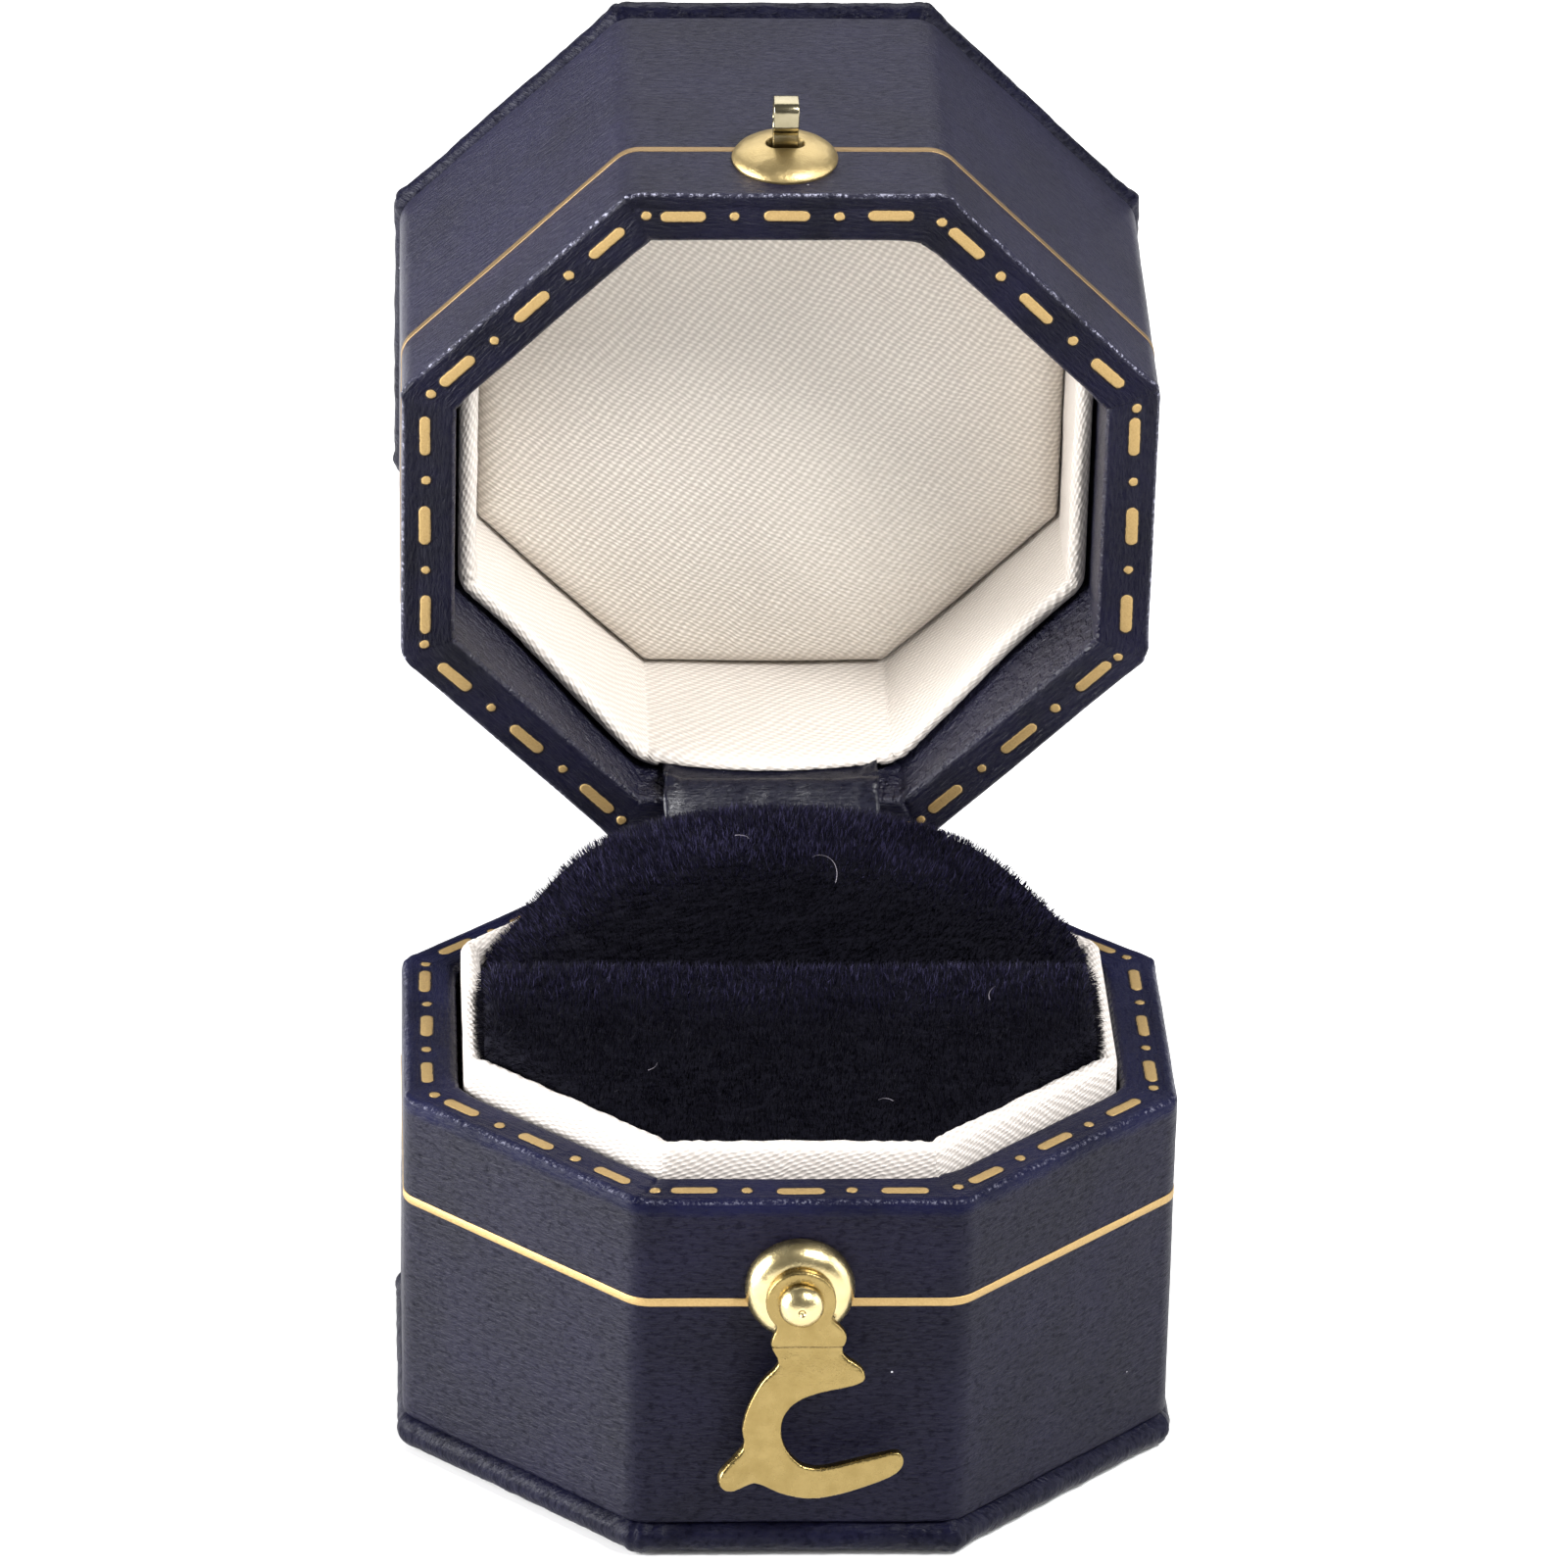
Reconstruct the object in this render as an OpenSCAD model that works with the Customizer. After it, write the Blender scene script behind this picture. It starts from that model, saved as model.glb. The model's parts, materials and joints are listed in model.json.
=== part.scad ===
// Octagonal ring box with a hinged lid, a hook clasp, satin linings and a velvet ring pad.
// Millimetres, +Z up, origin at the middle of the underside, front of the box towards -Y.
// The lid is drawn open, leaning back against its hinge stop, with the hook hanging free.

/* [Box] */
// Width across the flats of the octagonal walls
across_flats = 48; // [44:1:54]
// Height of the base from the table to its rim
base_h = 24.5; // [22:0.5:30]
// Height of the lid from its rim to its top
lid_h = 26.1; // [24:0.5:32]
// Thickness of the wrapped walls
wall = 3.4; // [3:0.1:4]
// Thickness of the bottom plate and of the lid's top plate
plate_t = 2.2; // [2:0.1:3]
// How far both plates stand out past the walls
plate_out = 0.3; // [0.1:0.1:1]
// Thickness of the leather cloth
skin = 0.45; // [0.3:0.05:0.5]
// Radius of the upright edges of the walls
edge_round = 1; // [0.4:0.1:1.5]
// Radius of the rim's edges
rim_round = 0.6; // [0.3:0.1:0.8]
// Gap between the two rims when the box is shut
seam_gap = 0.2; // [0.1:0.05:0.4]

/* [Lid position] */
// Angle of the open lid from shut
open_angle = 83; // [60:1:95]

/* [Foil line] */
// Height of the gold line
foil_h = 0.55; // [0.3:0.05:1]
// Thickness of the foil
foil_t = 0.04; // [0.03:0.01:0.1]
// Distance of the base's line below the rim
base_line = 6.9; // [4:0.1:9]
// Distance of the lid's line above the rim
lid_line = 6; // [4:0.1:9]

/* [Linings] */
// Thickness of the satin collars
collar_t = 1.2; // [1:0.1:1.6]
// Thickness of the satin
satin_t = 0.25; // [0.2:0.05:0.35]
// Gap between a collar and its wall
collar_gap = 0.3; // [0.2:0.05:0.4]
// How far the base's collar stands above the rim
collar_proud = 2.2; // [1:0.1:3]
// Depth of the lid's collar below its rim
collar_recess = 6.2; // [5:0.1:8]
// Depth of the edge of the lid's cushion below its rim
cushion_depth = 14.6; // [14:0.1:20]
// How far the middle of the lid's cushion swells
cushion_swell = 2.2; // [2:0.1:4]

/* [Ring pad] */
// Height of the front roll's ridge above the rim
front_rise = 4.2; // [3:0.1:6]
// Height of the rear roll's crown above the rim
rear_rise = 8.6; // [7:0.1:9]
// Radius of the rear roll's arch across the box
arch_r = 28; // [24:1:40]
// Width of the ring slot between the rolls
slot_w = 0.6; // [0.4:0.1:1.2]

/* [Clasp] */
// Distance of the hook's pivot below the rim
pivot_drop = 5.8; // [5.5:0.1:6]
// Distance of the keeper eye above the lid's rim
keeper_rise = 4.7; // [4.6:0.1:4.9]
// Radius of both rosettes
rosette_r = 3.35; // [3:0.05:3.6]
// Thickness of the hook's plate
hook_t = 0.7; // [0.5:0.05:0.75]

/* [Hinge] */
// Length of the hinge
hinge_w = 13; // [11:0.5:15]
// Distance of the hinge's axis behind the wall
hinge_back = 0.7; // [0.6:0.1:0.9]
// Radius of the knuckles
knuckle_r = 1; // [0.9:0.05:1.05]
// Radius of the hinge pin
pin_r = 0.5; // [0.4:0.05:0.6]
// Thickness of the hinge leaves
leaf_t = 0.5; // [0.4:0.05:0.6]

/* [Hidden] */

half = across_flats / 2;
inner = half - wall;
rim_z = base_h;
seam_z = rim_z + seam_gap / 2;
lid_rim_z = rim_z + seam_gap;
lid_top_z = lid_rim_z + lid_h;
lid_plate_z = lid_top_z - plate_t;
collar_out = inner - collar_gap;
collar_in = collar_out - collar_t;
fill_half = collar_in - 0.1;
hinge_y = half + hinge_back;
pivot_z = rim_z - pivot_drop;
keeper_z = lid_rim_z + keeper_rise;

pad_board_top = plate_t + 1;
pad_core_top = 14;
card_t = collar_t - 2 * satin_t;

relief_r = knuckle_r + 0.2;
relief_w = hinge_w + 0.9;
leaf_w = hinge_w + 0.2;
knuckle_half = 2.15;
knuckle_gap = 0.15;
leaf_drop = 8;
lid_leaf_drop = 5.8;
pin_fit = 0.02;
pin_run = 0.05;
flap_w = 13.9;
flap_t = 0.5;
flap_low = 12;
flap_reach = 8.2;

rosette_h = 1.6;
rosette_flat = 1.9;
lid_rosette_h = 1.3;
shank_r = 0.75;
shank_fit = 0.02;
shank_run = 0.08;
rivet_head_r = 1.4;
rivet_head_h = 1.5;
clench_r = 1.3;
clench_t = 0.4;
clench_z = skin - wall + 0.05;
ring_z = rosette_h + 0.05;
joggle = 0.2;
hook_z = ring_z - joggle;
hook_ring_r = 2.15;
spur_lift = 18;

ribbon_w = 1.6;
ribbon_t = 0.35;
eye_r = 1;
eye_z = 3.25;
leg_in = 0.05;
leg_out = 0.45;
leg_foot = 1.6;
slot_long = 2.4;
slot_high = 1.4;

small = 0.01;

// Outline of the hook below its ring, walked from the left of the neck, down and round:
// neck, back of the C, thumb spur, lower jaw, throat, upper jaw and neck again.
hook_points = [[-1.1, -1.2], [-1.5, -1.9], [-1.8, -3.0], [-1.3, -4.2], [-2.3, -5.4], [-3.1, -7.1],
    [-3.45, -8.7], [-3.4, -9.9], [-4.9, -11.4], [-5.0, -12.4], [-4.2, -12.8], [-2.6, -12.4],
    [-1.1, -13.1], [0.7, -13.5], [2.6, -13.2], [4.6, -12.5], [6.0, -11.8], [6.5, -11.0],
    [6.2, -10.3], [5.5, -10.35], [3.8, -10.8], [1.9, -11.3], [0.9, -11.35], [0.1, -11.05],
    [-0.7, -10.1], [-1.05, -8.8], [-0.8, -7.6], [0.0, -6.7], [1.3, -6.15], [2.8, -5.8],
    [3.8, -5.45], [4.0, -5.0], [3.7, -4.4], [2.6, -3.5], [2.85, -2.3], [2.1, -1.3], [1.2, -0.8]];
spur_root = [-3.4, -9.9];
spur_foot = [-2.6, -12.4];
spur_angle = atan2(spur_foot[1] - spur_root[1], spur_foot[0] - spur_root[0]);

// A smooth closed curve through a list of points
function curve_point(p, i, t) =
    let (n = len(p), a = p[(i + n - 1) % n], b = p[i], c = p[(i + 1) % n], d = p[(i + 2) % n])
    0.5 * (2 * b + (c - a) * t + (2 * a - 5 * b + 4 * c - d) * t * t
        + (3 * b - a - 3 * c + d) * t * t * t);
function closed_curve(p, steps) =
    [for (i = [0 : len(p) - 1], k = [0 : steps - 1]) curve_point(p, i, k / steps)];

// Points of a quarter turn or less about a centre
function arc(c, r, from, to, steps = 4) =
    [for (k = [0 : steps]) let (a = from + (to - from) * k / steps) c + r * [cos(a), sin(a)]];

// Where a point [y, z] of the shut lid goes when the lid opens
function opened_point(p) =
    let (y = p[0] - hinge_y, z = p[1] - seam_z)
    [hinge_y + y * cos(open_angle) + z * sin(open_angle),
        seam_z - y * sin(open_angle) + z * cos(open_angle)];

module opened() {
    translate([0, hinge_y, seam_z]) rotate([-open_angle, 0, 0]) translate([0, -hinge_y, -seam_z])
        children();
}

// Local Z points out of the front wall, local Y points up
module on_front(z) {
    translate([0, -half, z]) rotate([90, 0, 0]) children();
}

// An outline in [y, z] drawn out along X
module along_x(length) {
    rotate([90, 0, 90]) linear_extrude(length, center = true) children();
}

module octagon(h) {
    rotate(22.5) circle(r = h / cos(22.5), $fn = 8);
}

module wall_outline(h) {
    offset(r = edge_round, $fn = 32) offset(delta = -edge_round) octagon(h);
}

// An outline in [half width, z] carried round the octagon with mitred corners
module octagon_sweep(outline) {
    rotate(22.5) rotate_extrude($fn = 8)
        polygon([for (p = outline) [p[0] / cos(22.5), p[1]]]);
}

module octagon_tube(outer_h, inner_h, low, high) {
    translate([0, 0, low]) linear_extrude(high - low) difference() {
        octagon(outer_h);
        octagon(inner_h);
    }
}

// Cloth over a wall: outside, over the rim and down inside. rim is at z = 0, the wall hangs below.
function wrap_outline(h) = concat(
    [[half, -h]],
    arc([half - rim_round, -rim_round], rim_round, 0, 90),
    arc([inner + rim_round, -rim_round], rim_round, 90, 180),
    [[inner, -h], [inner + skin, -h], [inner + skin, -skin], [half - skin, -skin],
        [half - skin, -h]]);

module wall_wrap(h) {
    intersection() {
        octagon_sweep(wrap_outline(h));
        translate([0, 0, -h - 1]) linear_extrude(h + 2) wall_outline(half);
    }
}

module wall_core(h) {
    octagon_tube(half - skin, inner + skin, -h, -skin);
}

// Cloth round a plate of the given thickness, z = 0 on the side that shows
module plate_wrap() {
    h = half + plate_out;
    r = plate_t / 2;
    octagon_sweep(concat(
        [[0, 0]],
        arc([h - r, r], r, -90, 90, 8),
        [[collar_in, plate_t], [collar_in, plate_t - skin], [h - r, plate_t - skin]],
        arc([h - r, r], r - skin, 90, -90, 6),
        [[0, skin]]));
}

module plate_board() {
    h = half + plate_out;
    r = plate_t / 2;
    octagon_sweep(concat([[0, skin]], arc([h - r, r], r - skin, -90, 90, 6),
        [[0, plate_t - skin]]));
}

// Card of a collar that stands on z = 0 with its free edge at z = h
module collar_card(h) {
    octagon_tube(collar_out - satin_t, collar_in + satin_t, 0, h - satin_t);
}

// Satin over a collar: outside, over the free edge and down inside
module collar_satin(h) {
    r = collar_t / 2;
    mid = collar_in + r;
    octagon_sweep(concat(
        [[collar_out, 0]],
        arc([mid, h - r], r, 0, 180, 8),
        [[collar_in, 0], [collar_in + satin_t, 0], [collar_in + satin_t, h - satin_t],
            [collar_out - satin_t, h - satin_t], [collar_out - satin_t, 0]]));
}

// Room for the knuckles and for a leaf let into the rim, for a rim at z = 0 facing up
module hinge_recess() {
    translate([0, hinge_y, seam_gap / 2]) rotate([0, 90, 0])
        cylinder(r = relief_r, h = relief_w, center = true, $fn = 64);
    translate([-leaf_w / 2, inner - leaf_t, -leaf_t])
        cube([leaf_w, wall + leaf_t + 1, leaf_t + 1]);
}

module foil_line(z) {
    translate([0, 0, z - foil_h / 2]) linear_extrude(foil_h) difference() {
        wall_outline(half + foil_t);
        wall_outline(half);
    }
}

// A shallow octagonal notch behind the collars for the hinge's leaf and flap
module flap_notch(low, high) {
    translate([-(flap_w + 0.4) / 2, inner - leaf_t - flap_t - 0.1, low])
        cube([flap_w + 0.4, 2, high - low]);
}

module bottom_board() {
    color("tan") plate_board();
}

module bottom_wrap() {
    color([0.11, 0.12, 0.2]) plate_wrap();
}

module rivet_way() {
    on_front(pivot_z) translate([0, 0, -wall - 1])
        cylinder(r = shank_r + shank_fit, h = wall + 2, $fn = 48);
}

module base_wall_core() {
    color("tan") difference() {
        translate([0, 0, rim_z]) wall_core(base_h - plate_t);
        translate([0, 0, rim_z]) hinge_recess();
        rivet_way();
        on_front(pivot_z) translate([0, 0, -wall - 1])
            cylinder(r = clench_r + 0.05, h = clench_z + clench_t + wall + 1.05, $fn = 48);
    }
}

module base_wall_wrap() {
    color([0.13, 0.14, 0.22]) difference() {
        translate([0, 0, rim_z]) wall_wrap(base_h - plate_t);
        translate([0, 0, rim_z]) hinge_recess();
        on_front(pivot_z) translate([0, 0, -skin - small])
            cylinder(r = shank_r + shank_fit, h = 1, $fn = 48);
    }
}

module base_foil_line() {
    color("goldenrod") difference() {
        foil_line(rim_z - base_line);
        on_front(pivot_z) cylinder(r = rosette_r + 0.05, h = 2, center = true, $fn = 64);
    }
}

module base_collar_card() {
    color("beige") difference() {
        translate([0, 0, plate_t]) collar_card(base_h - plate_t + collar_proud);
        flap_notch(flap_low - 0.5, rim_z + collar_proud + 1);
    }
}

module base_collar_satin() {
    color("white") difference() {
        translate([0, 0, plate_t]) collar_satin(base_h - plate_t + collar_proud);
        flap_notch(flap_low - 0.5, rim_z + collar_proud + 1);
    }
}

module pad_board() {
    color("tan") translate([0, 0, plate_t - skin])
        linear_extrude(pad_board_top - plate_t + skin) octagon(fill_half);
}

module pad_core() {
    color("dimgray") translate([0, 0, pad_board_top])
        linear_extrude(pad_core_top - pad_board_top) octagon(fill_half);
}

// Side view of the front roll: low at the collar, a soft swell up to the ridge by the slot
module front_roll() {
    edge = -slot_w / 2;
    top = rim_z + front_rise;
    color([0.06, 0.06, 0.14]) intersection() {
        translate([0, 0, pad_core_top]) linear_extrude(30) octagon(fill_half);
        along_x(across_flats) polygon(concat(
            [[edge, pad_core_top]],
            arc([edge - 1.2, top - 1.2], 1.2, 0, 90),
            [[-5, top - 0.3], [-9, top - 1.1], [-13, top - 2.2], [-16, top - 3.3]],
            arc([-fill_half + 2, top - 6], 2, 90, 180),
            [[-fill_half, pad_core_top]]));
    }
}

// Side view of the rear roll under an arch that runs from side to side
module rear_roll() {
    edge = slot_w / 2;
    top = rim_z + rear_rise;
    color([0.06, 0.06, 0.14]) intersection() {
        translate([0, 0, pad_core_top]) linear_extrude(30) octagon(fill_half);
        translate([0, 0, top - arch_r]) rotate([90, 0, 0])
            cylinder(r = arch_r, h = across_flats, center = true, $fn = 96);
        along_x(across_flats) polygon(concat(
            [[edge, pad_core_top], [edge, top - 6], [edge + 0.5, top - 4]],
            arc([9, top - 7], 7, 150, 90, 5),
            arc([11, top - 7], 7, 90, 15, 6),
            [[fill_half, top - 8], [fill_half, pad_core_top]]));
    }
}

module base_rosette() {
    color("gold") on_front(pivot_z) rotate_extrude($fn = 64) polygon(concat(
        [[shank_r + shank_fit, 0]],
        [for (a = [0 : 15 : 90])
            [rosette_flat + (rosette_r - rosette_flat) * cos(a), rosette_h * sin(a)]],
        [[shank_r + shank_fit, rosette_h]]));
}

module hook_rivet() {
    head_z = ring_z + hook_t + 0.05;
    color("gold") on_front(pivot_z) rotate_extrude($fn = 64) polygon(concat(
        [[0, clench_z], [clench_r, clench_z], [clench_r, clench_z + clench_t],
            [shank_r, clench_z + clench_t], [shank_r, head_z]],
        [for (a = [0 : 15 : 75]) [rivet_head_r * cos(a), head_z + rivet_head_h * sin(a)]],
        [[0, head_z + rivet_head_h]]));
}

// Everything on the thumb side of the crease where the spur is bent forward
module spur_side() {
    translate(spur_root) rotate(spur_angle) translate([-2, -6]) square([8, 6]);
}

module hook_outline() {
    polygon(closed_curve(hook_points, 3));
}

module hook() {
    color("gold") on_front(pivot_z) difference() {
        union() {
            translate([0, 0, ring_z]) linear_extrude(hook_t) intersection() {
                union() {
                    circle(r = hook_ring_r, $fn = 64);
                    hook_outline();
                }
                translate([-3, -3]) square([6, 6]);
            }
            translate([0, 0, hook_z]) linear_extrude(hook_t) difference() {
                intersection() {
                    hook_outline();
                    translate([-8, -15]) square([16, 12.3]);
                }
                spur_side();
            }
            translate([spur_root[0], spur_root[1], hook_z]) rotate(spur_angle)
                rotate([-spur_lift, 0, 0]) rotate(-spur_angle)
                translate([-spur_root[0], -spur_root[1], 0]) linear_extrude(hook_t)
                intersection() {
                    hook_outline();
                    spur_side();
                }
        }
        cylinder(r = shank_r + shank_run, h = 3 * rosette_h, $fn = 64);
    }
}

// A leaf that lies in the rim and turns down the inside of the wall, for a rim at z = 0 facing up
module leaf_plate(drop) {
    translate([-hinge_w / 2, inner - leaf_t, -leaf_t])
        cube([hinge_w, hinge_y - knuckle_r * 0.5 - inner + leaf_t, leaf_t]);
    translate([-hinge_w / 2, inner - leaf_t, -drop]) cube([hinge_w, leaf_t, drop]);
}

module barrel(from, to, r) {
    translate([from, hinge_y, seam_z]) rotate([0, 90, 0]) cylinder(r = r, h = to - from, $fn = 64);
}

module hinge_base_leaf() {
    side = hinge_w / 2;
    color("silver") difference() {
        union() {
            translate([0, 0, rim_z]) leaf_plate(leaf_drop);
            for (s = [-1, 1]) barrel(min(s * side, s * (knuckle_half + knuckle_gap)),
                max(s * side, s * (knuckle_half + knuckle_gap)), knuckle_r);
        }
        barrel(-knuckle_half - knuckle_gap, knuckle_half + knuckle_gap, relief_r);
        barrel(-side - 1, side + 1, pin_r + pin_fit);
    }
}

module hinge_pin() {
    side = hinge_w / 2;
    color("silver") union() {
        barrel(-side - 0.25, side + 0.25, pin_r);
        for (s = [-1, 1]) barrel(min(s * side, s * (side + 0.25)), max(s * side, s * (side + 0.25)),
            pin_r + 0.25);
    }
}

module hinge_lid_leaf() {
    side = hinge_w / 2;
    color("silver") opened() difference() {
        union() {
            translate([0, 0, lid_rim_z]) mirror([0, 0, 1]) leaf_plate(lid_leaf_drop);
            barrel(-knuckle_half, knuckle_half, knuckle_r);
        }
        for (s = [-1, 1]) barrel(min(s * (side + 1), s * (knuckle_half + 0.01)),
            max(s * (side + 1), s * (knuckle_half + 0.01)), relief_r);
        barrel(-side - 1, side + 1, pin_r + pin_run);
    }
}

// Leather cloth stay, from behind the pad, across the hinge and up the inside of the lid
module hinge_flap() {
    y = inner - leaf_t - flap_t / 2;
    turn = opened_point([y - 0.1, lid_rim_z]);
    tip = opened_point([y - 0.1, lid_rim_z + flap_reach]);
    bridge = atan2(turn[1] - rim_z - 0.25, turn[0] - y);
    along = atan2(tip[1] - turn[1], tip[0] - turn[0]);
    path = [[y, flap_low], [y, rim_z + 0.25], turn, tip];
    ways = [90, (90 + bridge) / 2, (bridge + along) / 2, along];
    widen = [1, 1 / cos((90 - bridge) / 2), 1 / cos((bridge - along) / 2), 1];
    function side(k, s) = path[k] + s * flap_t / 2 * widen[k] * [-sin(ways[k]), cos(ways[k])];
    color([0.13, 0.14, 0.22]) along_x(flap_w) polygon(concat(
        [for (k = [0 : 3]) side(k, 1)], [for (k = [3 : -1 : 0]) side(k, -1)]));
}

module keeper_way(depth) {
    on_front(keeper_z) translate([-ribbon_w / 2 - 0.1, -leg_out - 0.1, -depth])
        cube([ribbon_w + 0.2, 2 * leg_out + 0.2, depth + 1]);
}

module lid_shell() {
    translate([0, 0, lid_rim_z]) mirror([0, 0, 1]) children();
}

module lid_wall_core() {
    color("tan") opened() difference() {
        lid_shell() wall_core(lid_h - plate_t);
        lid_shell() hinge_recess();
        keeper_way(wall - skin);
        on_front(keeper_z) translate([-ribbon_w / 2 - 0.1, -leg_foot - 0.1, skin - wall - small])
            cube([ribbon_w + 0.2, 2 * leg_foot + 0.2, clench_t + 0.1]);
    }
}

module lid_wall_wrap() {
    color([0.16, 0.17, 0.24]) opened() difference() {
        lid_shell() wall_wrap(lid_h - plate_t);
        lid_shell() hinge_recess();
        keeper_way(skin + small);
    }
}

module lid_foil_line() {
    color("goldenrod") opened() difference() {
        foil_line(lid_rim_z + lid_line);
        on_front(keeper_z) cylinder(r = rosette_r + 0.05, h = 2, center = true, $fn = 64);
    }
}

module lid_top_board() {
    color("tan") opened() translate([0, 0, lid_top_z]) mirror([0, 0, 1]) plate_board();
}

module lid_top_wrap() {
    color([0.11, 0.12, 0.2]) opened() translate([0, 0, lid_top_z]) mirror([0, 0, 1]) plate_wrap();
}

module lid_collar_card() {
    color("beige") opened() difference() {
        translate([0, 0, lid_plate_z]) mirror([0, 0, 1]) collar_card(lid_h - plate_t - collar_recess);
        flap_notch(lid_rim_z, lid_rim_z + flap_reach + 0.5);
    }
}

module lid_collar_satin() {
    color("white") opened() difference() {
        translate([0, 0, lid_plate_z]) mirror([0, 0, 1]) collar_satin(lid_h - plate_t - collar_recess);
        flap_notch(lid_rim_z, lid_rim_z + flap_reach + 0.5);
    }
}

cushion_back = lid_plate_z + skin - 1.5;

module lid_cushion_board() {
    color("tan") opened() translate([0, 0, cushion_back]) linear_extrude(1.5) octagon(fill_half);
}

module lid_cushion() {
    edge_z = lid_rim_z + cushion_depth;
    ball = (pow(fill_half, 2) + pow(cushion_swell, 2)) / (2 * cushion_swell);
    color("ivory") opened() intersection() {
        translate([0, 0, edge_z - 2 * cushion_swell])
            linear_extrude(cushion_back - edge_z + 2 * cushion_swell) octagon(fill_half);
        translate([0, 0, edge_z - cushion_swell + ball]) sphere(r = ball, $fn = 96);
    }
}

module lid_rosette() {
    color("gold") opened() on_front(keeper_z) difference() {
        rotate_extrude($fn = 64) polygon(concat([[0, 0]],
            [for (a = [0 : 10 : 80]) [rosette_r * cos(a), lid_rosette_h * sin(a)]],
            [[0, lid_rosette_h]]));
        translate([-slot_long / 2 + slot_high / 2, 0, -1]) cylinder(r = slot_high / 2, h = 4, $fn = 32);
        translate([slot_long / 2 - slot_high / 2, 0, -1]) cylinder(r = slot_high / 2, h = 4, $fn = 32);
        translate([-slot_long / 2 + slot_high / 2, -slot_high / 2, -1])
            cube([slot_long - slot_high, slot_high, 4]);
    }
}

// Side view of the split ribbon: an eye, a neck of two legs, and feet clenched inside the wall
module keeper_eye() {
    foot_z = skin - wall;
    color("khaki") opened() on_front(keeper_z) difference() {
        union() {
            along_x(ribbon_w) translate([0, eye_z]) circle(r = eye_r, $fn = 48);
            along_x(ribbon_w) translate([-leg_out, foot_z]) square([2 * leg_out, eye_z - foot_z]);
            along_x(ribbon_w) translate([-leg_foot, foot_z]) square([2 * leg_foot, clench_t]);
        }
        along_x(2 * ribbon_w) translate([0, eye_z]) circle(r = eye_r - ribbon_t, $fn = 48);
        along_x(2 * ribbon_w) translate([-leg_in, foot_z - 1]) square([2 * leg_in, eye_z - foot_z + 1]);
    }
}

bottom_board();
bottom_wrap();
base_wall_core();
base_wall_wrap();
base_foil_line();
base_collar_card();
base_collar_satin();
pad_board();
pad_core();
front_roll();
rear_roll();
base_rosette();
hook_rivet();
hook();
hinge_base_leaf();
hinge_pin();
hinge_flap();
hinge_lid_leaf();
lid_wall_core();
lid_wall_wrap();
lid_foil_line();
lid_top_board();
lid_top_wrap();
lid_collar_card();
lid_collar_satin();
lid_cushion_board();
lid_cushion();
lid_rosette();
keeper_eye();
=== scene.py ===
"""Octagonal ring box: the looks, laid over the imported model. Lengths are in millimetres until
they reach a mesh, where MM turns them into metres."""
import json
import math
import random

import bpy
import numpy as np
from mathutils import Matrix, Vector, noise


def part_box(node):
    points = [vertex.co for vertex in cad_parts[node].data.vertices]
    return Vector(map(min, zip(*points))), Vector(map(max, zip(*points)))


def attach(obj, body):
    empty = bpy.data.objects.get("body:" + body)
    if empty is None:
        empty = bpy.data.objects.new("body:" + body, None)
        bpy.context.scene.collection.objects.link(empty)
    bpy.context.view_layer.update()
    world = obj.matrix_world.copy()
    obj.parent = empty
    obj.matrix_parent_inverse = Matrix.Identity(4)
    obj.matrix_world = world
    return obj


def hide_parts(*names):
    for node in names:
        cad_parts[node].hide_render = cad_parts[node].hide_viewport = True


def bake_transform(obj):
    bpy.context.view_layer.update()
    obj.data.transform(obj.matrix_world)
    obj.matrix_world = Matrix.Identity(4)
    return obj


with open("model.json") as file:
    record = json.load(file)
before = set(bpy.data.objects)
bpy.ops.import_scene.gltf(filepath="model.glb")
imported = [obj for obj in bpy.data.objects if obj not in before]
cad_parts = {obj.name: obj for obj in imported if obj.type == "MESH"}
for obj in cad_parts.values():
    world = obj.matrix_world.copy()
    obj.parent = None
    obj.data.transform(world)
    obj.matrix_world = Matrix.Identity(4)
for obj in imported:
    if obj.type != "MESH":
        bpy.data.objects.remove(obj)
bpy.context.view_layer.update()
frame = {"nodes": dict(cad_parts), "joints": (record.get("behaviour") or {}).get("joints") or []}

MM = 0.001
SCENE = bpy.context.scene
TAN = math.tan(math.radians(22.5))

# ---------------------------------------------------------------- sizes from the frame
lid_joint = next(j for j in frame["joints"] if j["name"] == "lid_hinge")
hook_joint = next(j for j in frame["joints"] if j["name"] == "hook_pivot")
HINGE = Vector(lid_joint["pos_m"]) / MM
OPEN = math.radians(lid_joint["range_deg"][1])
PIVOT = Vector(hook_joint["pos_m"]) / MM
TURN = Matrix.Rotation(-OPEN, 4, "X")
OPENED = Matrix.Translation(HINGE * MM) @ TURN @ Matrix.Translation(-HINGE * MM)


def box_mm(node):
    low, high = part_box(node)
    return low / MM, high / MM


def shut_box(node):
    """Lowest and highest corner of a lid node with the lid shut, in millimetres."""
    back = OPENED.inverted()
    points = np.array([back @ v.co for v in frame["nodes"][node].data.vertices]) / MM
    return Vector(points.min(0)), Vector(points.max(0))


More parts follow.
